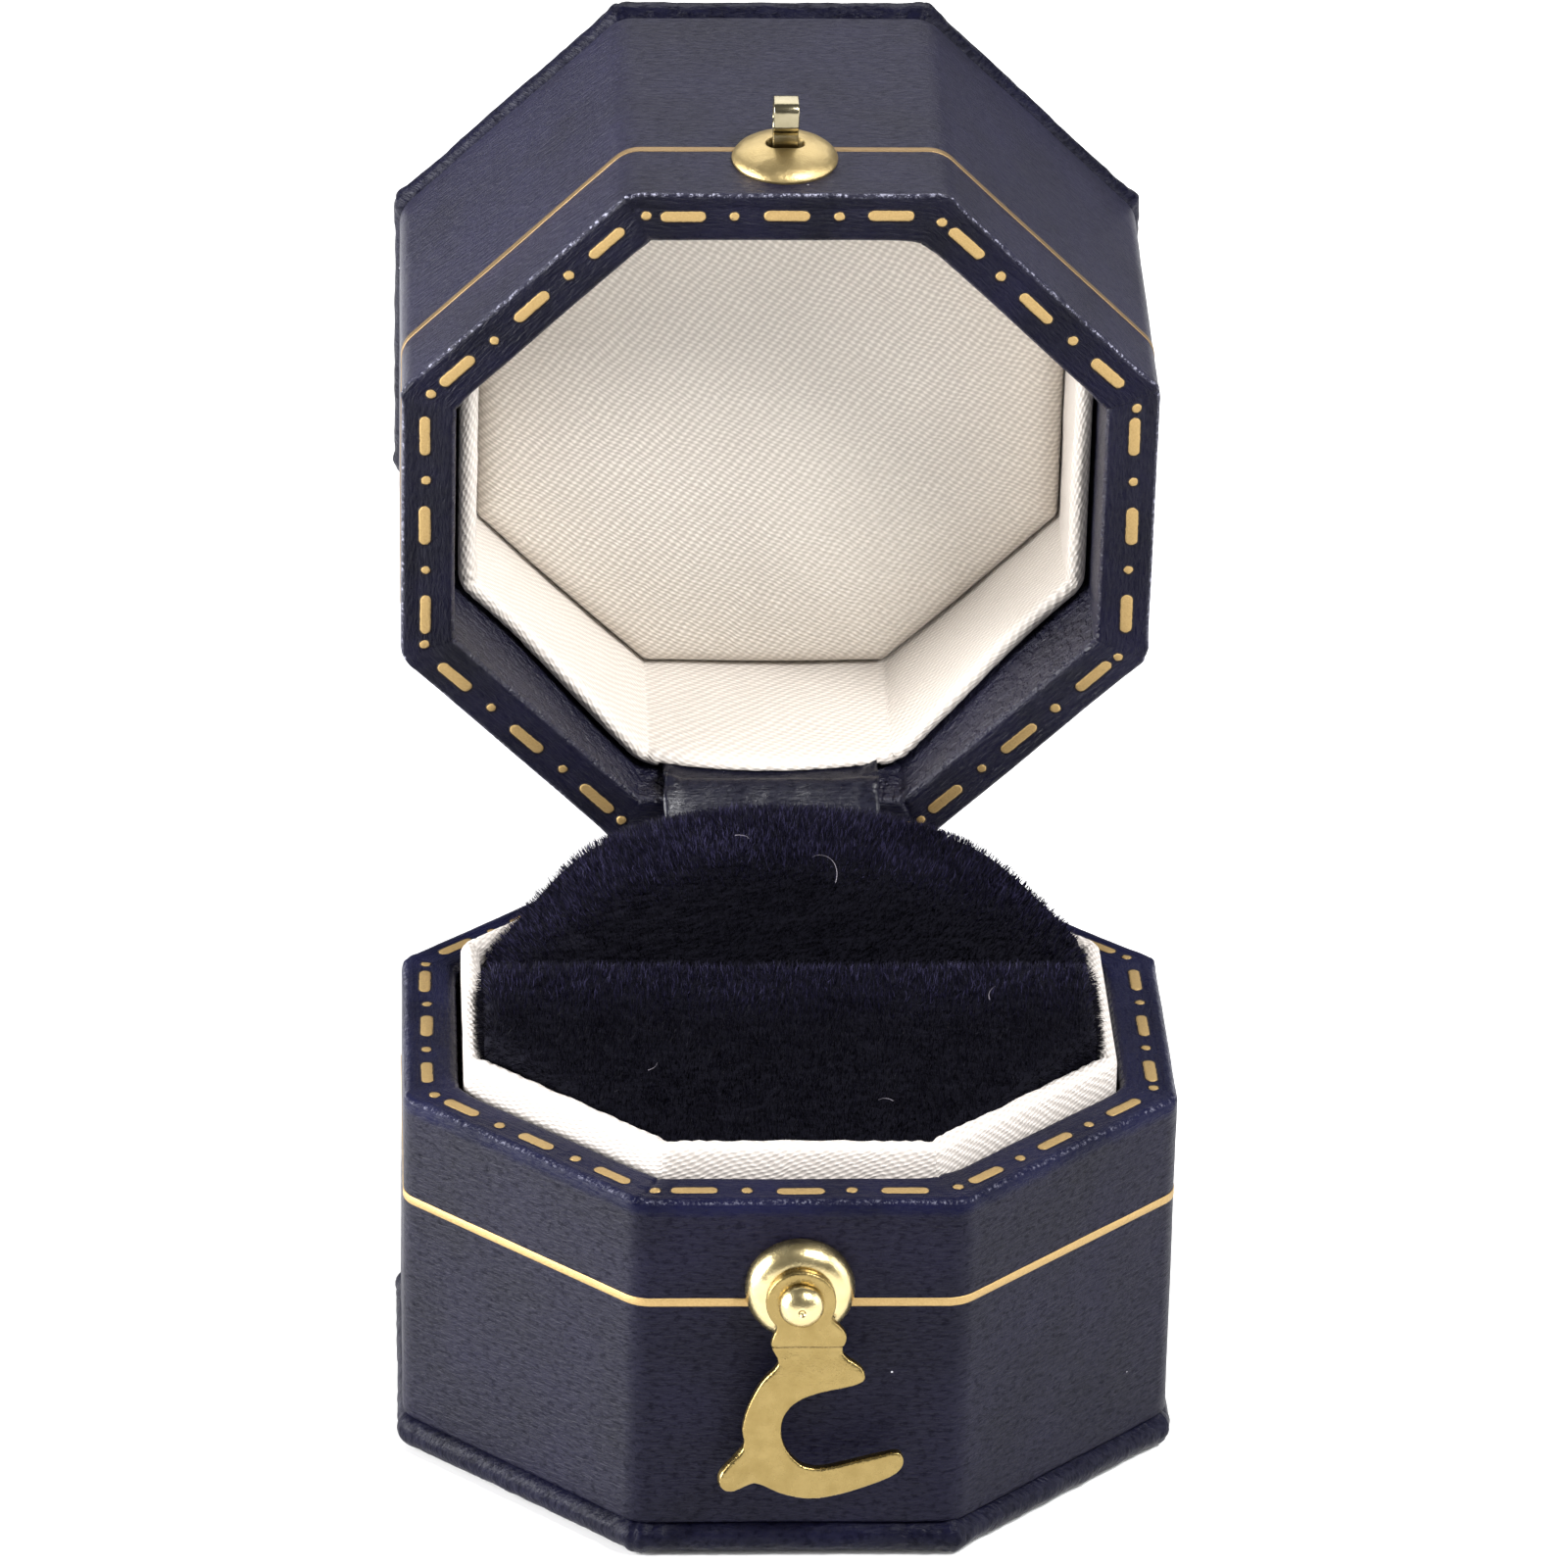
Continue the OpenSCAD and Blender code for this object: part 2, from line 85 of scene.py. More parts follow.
wall_low, wall_high = box_mm("base_wall_wrap")
HALF = wall_high.x
PLATE = wall_low.z
RIM = wall_high.z
BOTTOM_HALF = box_mm("bottom_wrap")[1].x
COLLAR_OUT = box_mm("base_collar_satin")[1].x
COLLAR_TOP = box_mm("base_collar_satin")[1].z
FILL = box_mm("rear_roll")[1].x
FRONT_TOP = box_mm("front_roll")[1].z
REAR_TOP = box_mm("rear_roll")[1].z
ROLL_LOW = box_mm("front_roll")[0].z
LID_RIM = shut_box("lid_wall_wrap")[0].z
LID_PLATE = shut_box("lid_top_wrap")[0].z
LID_TOP = shut_box("lid_top_wrap")[1].z
LID_COLLAR = shut_box("lid_collar_satin")[0].z
CUSHION_BACK = shut_box("lid_cushion")[1].z
CUSHION_CROWN = shut_box("lid_cushion")[0].z
KEEPER = (shut_box("lid_rosette")[0] + shut_box("lid_rosette")[1]) / 2
WALL = 3.4
SKIN = 0.45
COLLAR_T = 1.2
INNER = HALF - WALL
WALL_CORNER = 2.3
PLATE_CORNER = 2.0
BASE_COLLAR_CORNER, LID_COLLAR_CORNER = 1.6, 2.4
WALL_STEPS = 56
CUSHION_DEPTH = 14.6
FLAP_LOW, FLAP_HIGH = 12.0, 32.9
RIM_OF = {1: RIM, -1: LID_RIM}
CORNER_SIZE = [0.5, 1.9, 0.6, 0.4, 0.7, 0.5, 0.8, 1.1]

random.seed(7)


# ---------------------------------------------------------------- mesh helpers
def new_object(name, vertices, faces, shut_lid=False, uvs=None):
    """A mesh piece from millimetre points. A piece of the lid is built shut, then opened."""
    mesh = bpy.data.meshes.new(name)
    mesh.from_pydata([tuple(c * MM for c in v) for v in vertices], [], faces)
    if uvs is not None:
        layer = mesh.uv_layers.new(name="cloth")
        layer.data.foreach_set("uv", np.asarray(uvs, np.float32).ravel())
    mesh.polygons.foreach_set("use_smooth", [True] * len(mesh.polygons))
    mesh.update()
    piece = bpy.data.objects.new(name, mesh)
    SCENE.collection.objects.link(piece)
    if shut_lid:
        piece.matrix_world = OPENED
    return piece


def place(piece, body, material, slot, replaces=()):
    """Gives a piece its body and material, and hides the CAD nodes that it stands for. slot is not used.
    """
    if material is not None:
        piece.data.materials.clear()
        piece.data.materials.append(material)
    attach(piece, body)
    if replaces:
        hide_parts(*replaces)
    return piece


def clump(x, y, z, size, seed=0.0):
    """Smooth noise from -1 to 1 with features about size millimetres wide."""
    return noise.noise(Vector((x / size + seed, y / size - seed, z / size + 2 * seed)))


def ease(x):
    x = min(max(x, 0.0), 1.0)
    return x * x * (3 - 2 * x)


def arc(cx, cy, r, start, end, steps):
    turn = [math.radians(start + (end - start) * k / steps) for k in range(steps + 1)]
    return [(cx + r * math.cos(a), cy + r * math.sin(a)) for a in turn]


def line(a, b, steps):
    """Points from a to just before b."""
    return [(a[0] + (b[0] - a[0]) * k / steps, a[1] + (b[1] - a[1]) * k / steps)
            for k in range(steps)]


def side_angle(side):
    """The way that a side of the octagon faces; side 0 is the front."""
    return math.radians(-90 + 45 * side)


def on_side(angle, away, along):
    """A point at a distance from the middle, and along the side that faces angle."""
    return (math.cos(angle) * away - math.sin(angle) * along,
            math.sin(angle) * away + math.cos(angle) * along)


def grid_faces(rows, columns, start=0):
    """The quads of a grid of points, columns + 1 to a row."""
    wide = columns + 1
    return [(a, a + 1, a + wide + 1, a + wide)
            for i in range(rows) for a in range(start + i * wide, start + i * wide + columns)]


def grid_rim(rows, columns):
    """The points round the edge of such a grid, in order."""
    wide = columns + 1
    return (list(range(wide)) + [i * wide + columns for i in range(1, rows + 1)]
            + [rows * wide + j for j in range(columns - 1, -1, -1)]
            + [i * wide for i in range(rows - 1, 0, -1)])


def octagon_sweep(name, profile, half, corner_r, shift=None, side_steps=40, arc_steps=5,
                  closed=True, shut_lid=False, crowd=1.5, facing=1):
    """Carries a profile of (inset, height) points round the octagon. facing is -1 for a
    profile that runs the other way, as the lid's do.

    shift(side, t, length, inset, height, point, normal) gives how far a point moves out along
    its normal. The UV map "cloth" holds millimetres: u along the side, v along the profile.
    """
    count = len(profile)
    run = [0.0]
    for a, b in zip(profile, profile[1:]):
        run.append(run[-1] + math.dist(a, b))
    normals = []
    for i in range(count):
        a = profile[i - 1] if closed or i > 0 else profile[i]
        b = profile[(i + 1) % count] if closed or i < count - 1 else profile[i]
        dx, dz = b[0] - a[0], b[1] - a[1]
        size = math.hypot(dx, dz) or 1.0
        normals.append((facing * dz / size, facing * dx / size))
    stations = []
    for k in range(arc_steps):
        stations.append((-1.0, -22.5 + 22.5 * k / arc_steps))
    for k in range(side_steps + 1):
        q = -1 + 2 * k / side_steps
        stations.append((math.copysign(1 - (1 - abs(q)) ** crowd, q), 0.0))
    for k in range(1, arc_steps + 1):
        stations.append((1.0, 22.5 * k / arc_steps))
    per_side = len(stations) - 1
    vertices, along = [], {}
    for side in range(8):
        angle = side_angle(side)
        for j, (s, bend) in enumerate(stations[:-1]):
            for i, (inset, height) in enumerate(profile):
                r = max(corner_r - 0.5 * max(inset, 0), 0.04)
                length = (half - inset) * TAN
                flat = length - r * TAN
                a = angle + math.radians(bend)
                nx, ny = math.cos(a), math.sin(a)
                cx, cy = on_side(angle, half - inset - r, s * flat)
                t = s * flat + r * math.radians(bend)
                x, y = cx + nx * r, cy + ny * r
                out, up = normals[i]
                move = shift(side, t, length, inset, height, (x, y, height),
                             (nx * out, ny * out, up)) if shift else 0.0
                vertices.append((x + nx * out * move, y + ny * out * move, height + up * move))
                along[(side * per_side + j, i)] = t
    total = 8 * per_side
    faces, uvs = [], []
    wrap = count if closed else count - 1
    for side in range(8):
        for j in range(per_side):
            a, b = side * per_side + j, (side * per_side + j + 1) % total
            last = j == per_side - 1
            for i in range(wrap):
                i2 = (i + 1) % count
                faces.append((a * count + i, b * count + i, b * count + i2, a * count + i2))
                v1, v2 = run[i], run[i] + math.dist(profile[i], profile[i2])
                u1, u4 = along[(a, i)], along[(a, i2)]
                u2 = -along[(b, i)] if last else along[(b, i)]
                u3 = -along[(b, i2)] if last else along[(b, i2)]
                base = 40 * side
                uvs += [(base + u1, v1), (base + u2, v1), (base + u3, v2), (base + u4, v2)]
    if not closed:
        for i, flip in ((0, False), (count - 1, True)):
            ring = [k * count + i for k in range(total)]
            faces.append(tuple(reversed(ring)) if not flip else tuple(ring))
            uvs += [(vertices[v][0], vertices[v][1]) for v in faces[-1]]
    return new_object(name, vertices, faces, shut_lid, uvs)


# ---------------------------------------------------------------- material helpers
class Paint:
    """A short way to write node materials."""

    def __init__(self, name):
        self.material = bpy.data.materials.new(name)
        self.material.use_nodes = True
        self.tree = self.material.node_tree
        self.shader = self.tree.nodes["Principled BSDF"]

    def node(self, kind, *values, **settings):
        made = self.tree.nodes.new(kind)
        for key, value in settings.items():
            setattr(made, key, value)
        for slot, value in enumerate(values):
            if value is not None:
                self.put(made.inputs[slot], value)
        return made

    def put(self, socket, value):
        if isinstance(value, bpy.types.NodeSocket):
            self.tree.links.new(value, socket)
        elif isinstance(value, bpy.types.Node):
            self.tree.links.new(value.outputs[0], socket)
        else:
            socket.default_value = value

    def set(self, **values):
        for name, value in values.items():
            self.put(self.shader.inputs[name.replace("_", " ")], value)
        return self.material

    def math(self, operation, a, b=None, clamp=False):
        return self.node("ShaderNodeMath", a, b, operation=operation, use_clamp=clamp)

    def times(self, a, b, clamp=False):
        return self.math("MULTIPLY", a, b, clamp)

    def plus(self, a, b):
        return self.math("ADD", a, b)

    def minus(self, a, b, clamp=False):
        return self.math("SUBTRACT", a, b, clamp)

    def space(self, scale=(1, 1, 1), turn=0.0):
        """Object coordinates in millimetres."""
        place = self.node("ShaderNodeMapping")
        self.put(place.inputs["Vector"], self.node("ShaderNodeTexCoord").outputs["Object"])
        place.inputs["Scale"].default_value = tuple(s / MM for s in scale)
        place.inputs["Rotation"].default_value = (0, 0, math.radians(turn))
        return place

    def cloth(self, scale=(1, 1, 1), turn=0.0):
        """The piece's own millimetres: along the cloth and across it."""
        place = self.node("ShaderNodeMapping")
        self.put(place.inputs["Vector"], self.node("ShaderNodeUVMap", uv_map="cloth"))
        place.inputs["Scale"].default_value = scale
        place.inputs["Rotation"].default_value = (0, 0, math.radians(turn))
        return place

    def noise(self, at, scale, detail=2.0, rough=0.5, distort=0.0):
        made = self.node("ShaderNodeTexNoise", at)
        made.inputs["Scale"].default_value = scale
        made.inputs["Detail"].default_value = detail
        made.inputs["Roughness"].default_value = rough
        made.inputs["Distortion"].default_value = distort
        return made.outputs["Fac"]

    def ramp(self, value, *stops):
        """Colour or grey stops as (place, colour)."""
        made = self.node("ShaderNodeValToRGB", value)
        band = made.color_ramp
        while len(band.elements) < len(stops):
            band.elements.new(0.5)
        for element, (at, colour) in zip(band.elements, stops):
            element.position = at
            grey = isinstance(colour, (int, float))
            element.color = (colour, colour, colour, 1) if grey else (*colour, 1)
        return made.outputs["Color"]

    def mix(self, share, a, b):
        made = self.node("ShaderNodeMix", data_type="RGBA")
        self.put(made.inputs["Factor"], share)
        self.put(made.inputs["A"], (*a, 1) if isinstance(a, tuple) else a)
        self.put(made.inputs["B"], (*b, 1) if isinstance(b, tuple) else b)
        return made.outputs["Result"]

    def specks(self, scale, radius, share):
        """Sparse round dots: scale cells to the millimetre, radius of a cell."""
        cells = self.node("ShaderNodeTexVoronoi", self.space())
        cells.inputs["Scale"].default_value = scale
        chosen = self.node("ShaderNodeSeparateColor", cells.outputs["Color"]).outputs[0]
        near = self.math("LESS_THAN", cells.outputs["Distance"], radius)
        return self.times(near, self.math("LESS_THAN", chosen, share))

    def bump(self, height, depth_mm, under=None, strength=1.0):
        made = self.node("ShaderNodeBump")
        self.put(made.inputs["Strength"], strength)
        self.put(made.inputs["Distance"], depth_mm * MM)
        self.put(made.inputs["Height"], height)
        if under is not None:
            self.put(made.inputs["Normal"], under)
        return made.outputs["Normal"]


def srgb(r, g, b):
    """A colour given as 0 to 255 screen values."""
    def one(c):
        c /= 255
        return c / 12.92 if c <= 0.04045 else ((c + 0.055) / 1.055) ** 2.4
    return (one(r), one(g), one(b))


# ---------------------------------------------------------------- materials
def leather(name, dark, light, turn=0.0, grain_mm=0.02, level=0.2, gloss=0.4, rim=None,
            facing=1, rim_dark=None, rim_light=None, spots=0.5, where="cloth"):
    """Navy leather cloth with a fine slanting grain and a little lint.

    turn is the slant of the grain, grain_mm its depth, spots how dark its hollows are. At a
    rim, where the cloth was pulled tight over the edge, it takes the rim colours and is
    smoother, and along its outer edge fine light specks are a painted highlight, standing in
    for the glint of the glossy edge. rim is the rim's height and facing is 1 where it looks
    up, -1 where it looks down.
    """
    p = Paint(name)
    wide = p.ramp(p.noise(p.space(), 0.16, 3, 0.6), (0.3, 0.0), (0.7, 1.0))
    along = p.cloth if where == "cloth" else p.space
    scratch = p.noise(along((0.8, 3.4, 1), turn), 1.5, 4, 0.6, 0.35)
    grain = p.noise(p.space(), 4.2, 3, 0.7)
    base = p.mix(wide, dark, light)
    tone = p.ramp(scratch, (0.3, 0.0), (0.7, 1.0))
    base = p.mix(p.times(tone, 0.4), base, tuple(1.5 * c for c in light))
    rough = p.plus(p.times(grain, 0.16), gloss - 0.08)
    shine = p.plus(level * 0.75, p.times(tone, level * 0.5))
    relief = p.bump(grain, 0.018)
    relief = p.bump(scratch, grain_mm * 3, relief)
    hollow = p.noise(along((1.0, 1.7, 1), turn), 1.9, 3, 0.65, 0.3)
    hollow = p.ramp(hollow, (0.36, 1.0), (0.5, 0.0))
    keep = p.minus(1.0, p.times(hollow, spots))
    shine = p.times(shine, p.times(keep, 1.0 + 0.35 * spots))
    base = p.mix(p.times(hollow, spots), base, tuple(0.5 * c for c in dark))
    if rim is not None:
        parts = p.node("ShaderNodeSeparateXYZ", p.space())
        height = parts.outputs["Z"]
        east, north = (p.math("ABSOLUTE", parts.outputs[axis]) for axis in "XY")
        slope = p.times(p.plus(east, north), math.sqrt(0.5))
        out = p.math("MAXIMUM", p.math("MAXIMUM", east, north), slope)
        wave = p.times(p.noise(p.space(), 0.8, 2, 0.6), 0.5)
        reach = 1.15 if facing > 0 else 0.15
        inside = p.times(p.minus(height, rim - facing * reach), facing)
        if facing > 0:
            inside = p.plus(inside, p.minus(wave, 0.25))
        band = p.ramp(p.times(inside, 2.2 if facing > 0 else 9.0, clamp=True),
                      (0.0, 0.0), (1.0, 1.0))
        base = p.mix(band, base, p.mix(wide, rim_dark, rim_light))
        # Painted highlight: fine light specks along the rim's outer edge, in place of the glossy edge's
        # glint.
        edge = p.math("ABSOLUTE", p.minus(height, rim - facing * 0.17))
        edge = p.minus(1.0, p.times(edge, 7.0), clamp=True)
        painted_edge_glint = p.ramp(p.noise(p.space((1, 1, 0.7)), 3.4, 4, 0.85), (0.52, 0.0), (0.6, 1.0))
        painted_edge_glint = p.times(painted_edge_glint, edge)
        painted_edge_glint = p.times(painted_edge_glint, p.math("GREATER_THAN", out, HALF - 0.7))
        glint_strength = 0.25 if facing > 0 else 0.75
        base = p.mix(p.times(painted_edge_glint, glint_strength), base, srgb(176, 176, 196))
        inside = p.math("LESS_THAN", out, HALF - 3.2)
        pebble = p.ramp(p.noise(p.space(), 1.7, 2, 0.5), (0.4, 0.0), (0.6, 1.0))
        relief = p.bump(pebble, 0.12, relief, inside)
        shine = p.plus(shine, p.times(inside, 0.25))
        rough = p.minus(rough, p.times(band, 0.1))
        shine = p.times(shine, p.minus(1.0, p.times(band, 0.45)))
    base = p.mix(p.specks(0.24, 0.017, 0.4), base, srgb(190, 190, 200))
    return p.set(Base_Color=base, Roughness=rough, Normal=relief, Specular_IOR_Level=shine)


def scorched(name):
    """The dark edge left where a hot stamp sank into the cloth."""
    p = Paint(name)
    grain = p.noise(p.space(), 5.0, 3, 0.7)
    return p.set(Base_Color=p.mix(grain, srgb(8, 6, 12), srgb(30, 22, 22)), Roughness=0.45,
                 Specular_IOR_Level=0.2, Normal=p.bump(grain, 0.02))


def foil(name, low, high):
    """Hot-stamped gold foil: fine pits, and a few specks where the cloth shows through."""
    p = Paint(name)
    fine = p.noise(p.space(), 7.0, 3, 0.7)
    worn = p.ramp(p.noise(p.space(), 3.1, 4, 0.7), (0.27, 1.0), (0.33, 0.0))
    gold = p.mix(fine, low, high)
    base = p.mix(worn, gold, srgb(70, 52, 40))
    metal = p.minus(0.85, p.times(worn, 0.7))
    rough = p.plus(0.36, p.times(fine, 0.3))
    return p.set(Base_Color=base, Metallic=metal, Roughness=rough,
                 Normal=p.bump(fine, 0.03))


def brass(name, colour, bright, rough_low, grain=1.0):
    """Satin-finished gilt brass."""
    p = Paint(name)
    cloud = p.noise(p.space(), 0.9, 3, 0.6)
    fine = p.noise(p.space(), 9.0, 2, 0.6)
    specks = p.ramp(p.noise(p.space(), 5.5, 3, 0.75), (0.24, 1.0), (0.29, 0.0))
    base = p.mix(cloud, colour, bright)
    base = p.mix(p.times(specks, 0.55), base, srgb(84, 66, 28))
    rough = p.plus(rough_low, p.times(cloud, 0.14))
    dents = p.bump(cloud, 0.03 * grain)
    return p.set(Base_Color=base, Metallic=1.0, Roughness=rough,
                 Normal=p.bump(fine, 0.012 * grain, dents))


def satin(name, low, high, long, wide, slant, depth, turn=0.0, where="cloth"):
    """Woven satin: short raised floats of thread in staggered rows.

    long and wide (mm) are the spacing of the floats along and across the rows, slant how far
    they lean, depth how far they stand up.
    """
    p = Paint(name)
    at = (p.cloth if where == "cloth" else p.space)((1, 1, 1), turn)
    parts = p.node("ShaderNodeSeparateXYZ", at)
    wobble = p.times(p.noise(at, 0.3, 3, 0.55), 2.2 * wide)
    across = p.plus(parts.outputs["Y"], wobble)
    lean = p.times(across, slant)
    along = p.minus(parts.outputs["X"], lean)
    rows = p.math("COSINE", p.times(across, 2 * math.pi / wide))
    floats = p.math("COSINE", p.times(along, 2 * math.pi / long))
    both = p.plus(p.times(p.times(rows, floats), 0.5), 0.5)
    uneven = p.noise(at, 2.3, 2, 0.6)
    weave = p.times(p.math("POWER", both, 1.4), p.plus(0.6, p.times(uneven, 0.8)))
    cloud = p.noise(p.space(), 0.2, 3, 0.6)
    base = p.mix(p.ramp(weave, (0.1, 0.0), (0.85, 1.0)), low, high)
    base = p.mix(p.times(cloud, 0.25), base, low)
    lint = p.noise(p.space((1, 1, 1)), 1.3, 5, 0.85)
    base = p.mix(p.ramp(lint, (0.215, 0.5), (0.235, 0.0)), base, srgb(120, 104, 92))
    rough = p.minus(0.52, p.times(weave, 0.2))
    return p.set(Base_Color=base, Roughness=rough, Normal=p.bump(weave, depth),
                 Sheen_Weight=0.2, Sheen_Roughness=0.35, Specular_IOR_Level=0.5)


def velvet_ground(name):
    """The dark cloth between the pile's threads."""
    p = Paint(name)
    nap = p.noise(p.space((1, 1, 0.5)), 2.4, 3, 0.7)
    base = p.mix(nap, srgb(4, 4, 9), srgb(9, 8, 18))
    return p.set(Base_Color=base, Roughness=0.9, Specular_IOR_Level=0.1,
                 Normal=p.bump(nap, 0.2), Sheen_Weight=0.05, Sheen_Roughness=0.5,
                 Sheen_Tint=(*srgb(90, 86, 140), 1))


def pile(name, colour):
    """One shade of the velvet's threads."""
    p = Paint(name)
    return p.set(Base_Color=(*colour, 1), Roughness=0.6, Specular_IOR_Level=0.1)


def board(name):
    p = Paint(name)
    fibres = p.noise(p.space(), 1.4, 4, 0.7)
    base = p.mix(fibres, srgb(150, 128, 98), srgb(186, 166, 134))
    return p.set(Base_Color=base, Roughness=0.9, Normal=p.bump(fibres, 0.05))


def foam(name):
    """Open foam: small dark cells in a soft grey."""
    p = Paint(name)
    cells = p.ramp(p.noise(p.space(), 3.0, 2, 0.5), (0.42, 0.0), (0.56, 1.0))
    base = p.mix(cells, srgb(62, 62, 66), srgb(132, 132, 138))
    return p.set(Base_Color=base, Roughness=0.95, Normal=p.bump(cells, 0.12))


def steel(name):
    p = Paint(name)
    drawn = p.noise(p.space((0.3, 2, 2)), 3.0, 3, 0.6)
    base = p.mix(drawn, srgb(128, 124, 116), srgb(176, 172, 162))
    rough = p.plus(0.25, p.times(drawn, 0.2))
    return p.set(Base_Color=base, Metallic=1.0, Roughness=rough, Normal=p.bump(drawn, 0.01))


DARK, LIGHT = srgb(12, 11, 27), srgb(21, 20, 41)
# The base's leather is a darker copy of the lid's navy leather: its darker colours are painted shade,
# toning down the light on the base's walls.
NAVY_BASE = leather("leather_base", srgb(8, 8, 19), srgb(15, 14, 31), 8, 0.035, 0.09, 0.42, RIM,
                    1, srgb(10, 11, 29), srgb(18, 19, 44))
NAVY_LID = leather("leather_lid", DARK, LIGHT, -14, 0.06, 0.21, 0.4, LID_RIM, -1,
                   srgb(7, 7, 18), srgb(14, 13, 32), 0.28)
NAVY_PLATE = leather("leather_plate", srgb(6, 6, 17), srgb(11, 11, 29), 0, 0.04, 0.075, 0.34,
                     where="space")
NAVY_FLAP = leather("leather_flap", srgb(10, 10, 20), srgb(19, 19, 31), 0, 0.02, 0.26, 0.3)
FOIL = foil("gold_foil", srgb(132, 106, 62), srgb(192, 165, 114))
# A darker copy of the gold foil, used for the lid's line: its darker colour is painted shade for the
# line's dimmer reflection.
SHADED_COPY_FOIL = foil("shaded_copy_gold_foil", srgb(104, 84, 56), srgb(150, 126, 90))
SCORCH = scorched("stamp_edge")
BRASS = brass("satin_brass", srgb(178, 158, 108), srgb(218, 203, 158), 0.19)
BRUSHED = brass("brushed_brass", srgb(150, 130, 86), srgb(186, 166, 120), 0.34, 2.0)
HOOK = brass("hook_gilt", srgb(116, 98, 57), srgb(152, 133, 87), 0.2, 1.6)
PALE = brass("pale_gilt", srgb(112, 104, 80), srgb(158, 150, 126), 0.14, 0.6)
COLLAR = satin("collar_satin", srgb(186, 178, 170), srgb(224, 217, 209), 0.85, 0.36, 0.7, 0.04)
# The base collar is a darker copy of the lid collar's satin: its darker colours are painted shade, toning
# down the light that falls on it from above.
BASE_COLLAR = satin("base_collar_satin", srgb(168, 161, 155), srgb(216, 209, 203), 0.85, 0.4, 0.7,
                    0.05)
IVORY = satin("cushion_satin", srgb(194, 186, 175), srgb(240, 233, 223), 0.64, 0.47, 0.6, 0.045,
              0.0, "space")
VELVET = velvet_ground("velvet_ground")
# The lighter pile shades go mostly to the rolls' crests, as painted sheen.
PILE = [pile("velvet_pile_1", srgb(6, 5, 12)), pile("velvet_pile_2", srgb(11, 10, 21)),
        pile("velvet_pile_3", srgb(22, 20, 39)), pile("velvet_pile_4", srgb(50, 47, 74))]
BOARD = board("greyboard")
FOAM = foam("pad_foam")
STEEL = steel("hinge_steel")


# ---------------------------------------------------------------- leather-covered walls
def wall_shift(seed, flip):
    """Puckers, corner folds and the lapped edge of the cloth. flip is -1 on the lid."""
    def shift(side, t, length, inset, height, point, normal):
        x, y, z = point
        move = 0.035 * clump(x, y, z, 5.0, seed) + 0.012 * clump(x, y, z, 1.3, seed)
        from_corner = length - abs(t)
        on_rim = flip * (height - RIM_OF[flip]) > -0.35
        if on_rim:
            lap = 1 if (t > 0) == (side % 2 == 0) else 0
            near = math.exp(-((from_corner / 0.9) ** 2))
            move += 0.09 * lap * near
            split = 0.6 + 0.4 * clump(x, y, z, 0.8)
            move -= 0.14 * math.exp(-((from_corner / 0.14) ** 2)) * split
            move += 0.10 * near * clump(x, y, z, 0.7, seed + 3)
            move -= 0.05 * ease((inset - 0.75) / 0.2) * ease((inset + 0.5) / 0.5)
            move += 0.05 * ease((inset - 1.4) / 0.8)
        near_rim = math.exp(-(((height - RIM_OF[flip]) / 0.9) ** 2))
        fold = math.exp(-((from_corner / 1.1) ** 2)) * near_rim
        move += fold * (0.07 * CORNER_SIZE[side] + 0.10 * clump(x, y, z, 0.9, seed + 5))
        return move
    return shift


def pressed(stand):
    """The other half of the box presses the rim's lumps down to 0.05 proud."""
    return np.where(stand < -0.05, stand, -0.05 + 0.1 * (1 - np.exp(-(stand + 0.05) / 0.1)))


def press_rim(piece, rim, up):
    points, _ = read_points(piece.data)
    stand = up * (points[:, 2] / MM - rim)
    points[:, 2] = (rim + up * pressed(stand)) * MM
    write_points(piece.data, points)


def rim_lift(seed, flip, side, t, inset):
    """How far the leather of the rim stands proud at a place on it."""
    rim = RIM_OF[flip]
    x, y = on_side(side_angle(side), HALF - inset, t)
    length = (HALF - inset) * TAN
    return float(pressed(np.float64(
        wall_shift(seed, flip)(side, t, length, inset, rim, (x, y, rim), (0, 0, flip)))))


def wall_profile(foot, rim, inner_end, up):
    """Outside, over the rim and down inside, then back under the skin. up is 1 or -1."""
    r, r2 = (0.62, 0.55) if up > 0 else (0.36, 0.5)
    foot_r = 0.3
    outer = [(d, foot + up * z) for d, z in arc(foot_r, foot_r, foot_r, 270, 180, 3)]
    outer += line((0, foot + up * foot_r), (0, rim - up * 2.2), 14)[1:]
    outer += line((0, rim - up * 2.2), (0, rim - up * r), 7)
    outer += [(d, rim - up * r + up * z) for d, z in arc(r, 0, r, 180, 90, 7)]
    outer += line((r, rim), (WALL - r2, rim), 16)[1:]
    outer += [(d, rim - up * r2 + up * z) for d, z in arc(WALL - r2, 0, r2, 90, 0, 6)]
    outer += line((WALL, rim - up * r2), (WALL, inner_end), 16)[1:]
    inner = [(WALL, inner_end), (WALL - SKIN, inner_end), (WALL - SKIN, rim - up * SKIN),
             (SKIN, rim - up * SKIN), (SKIN, foot)]
    return outer + inner


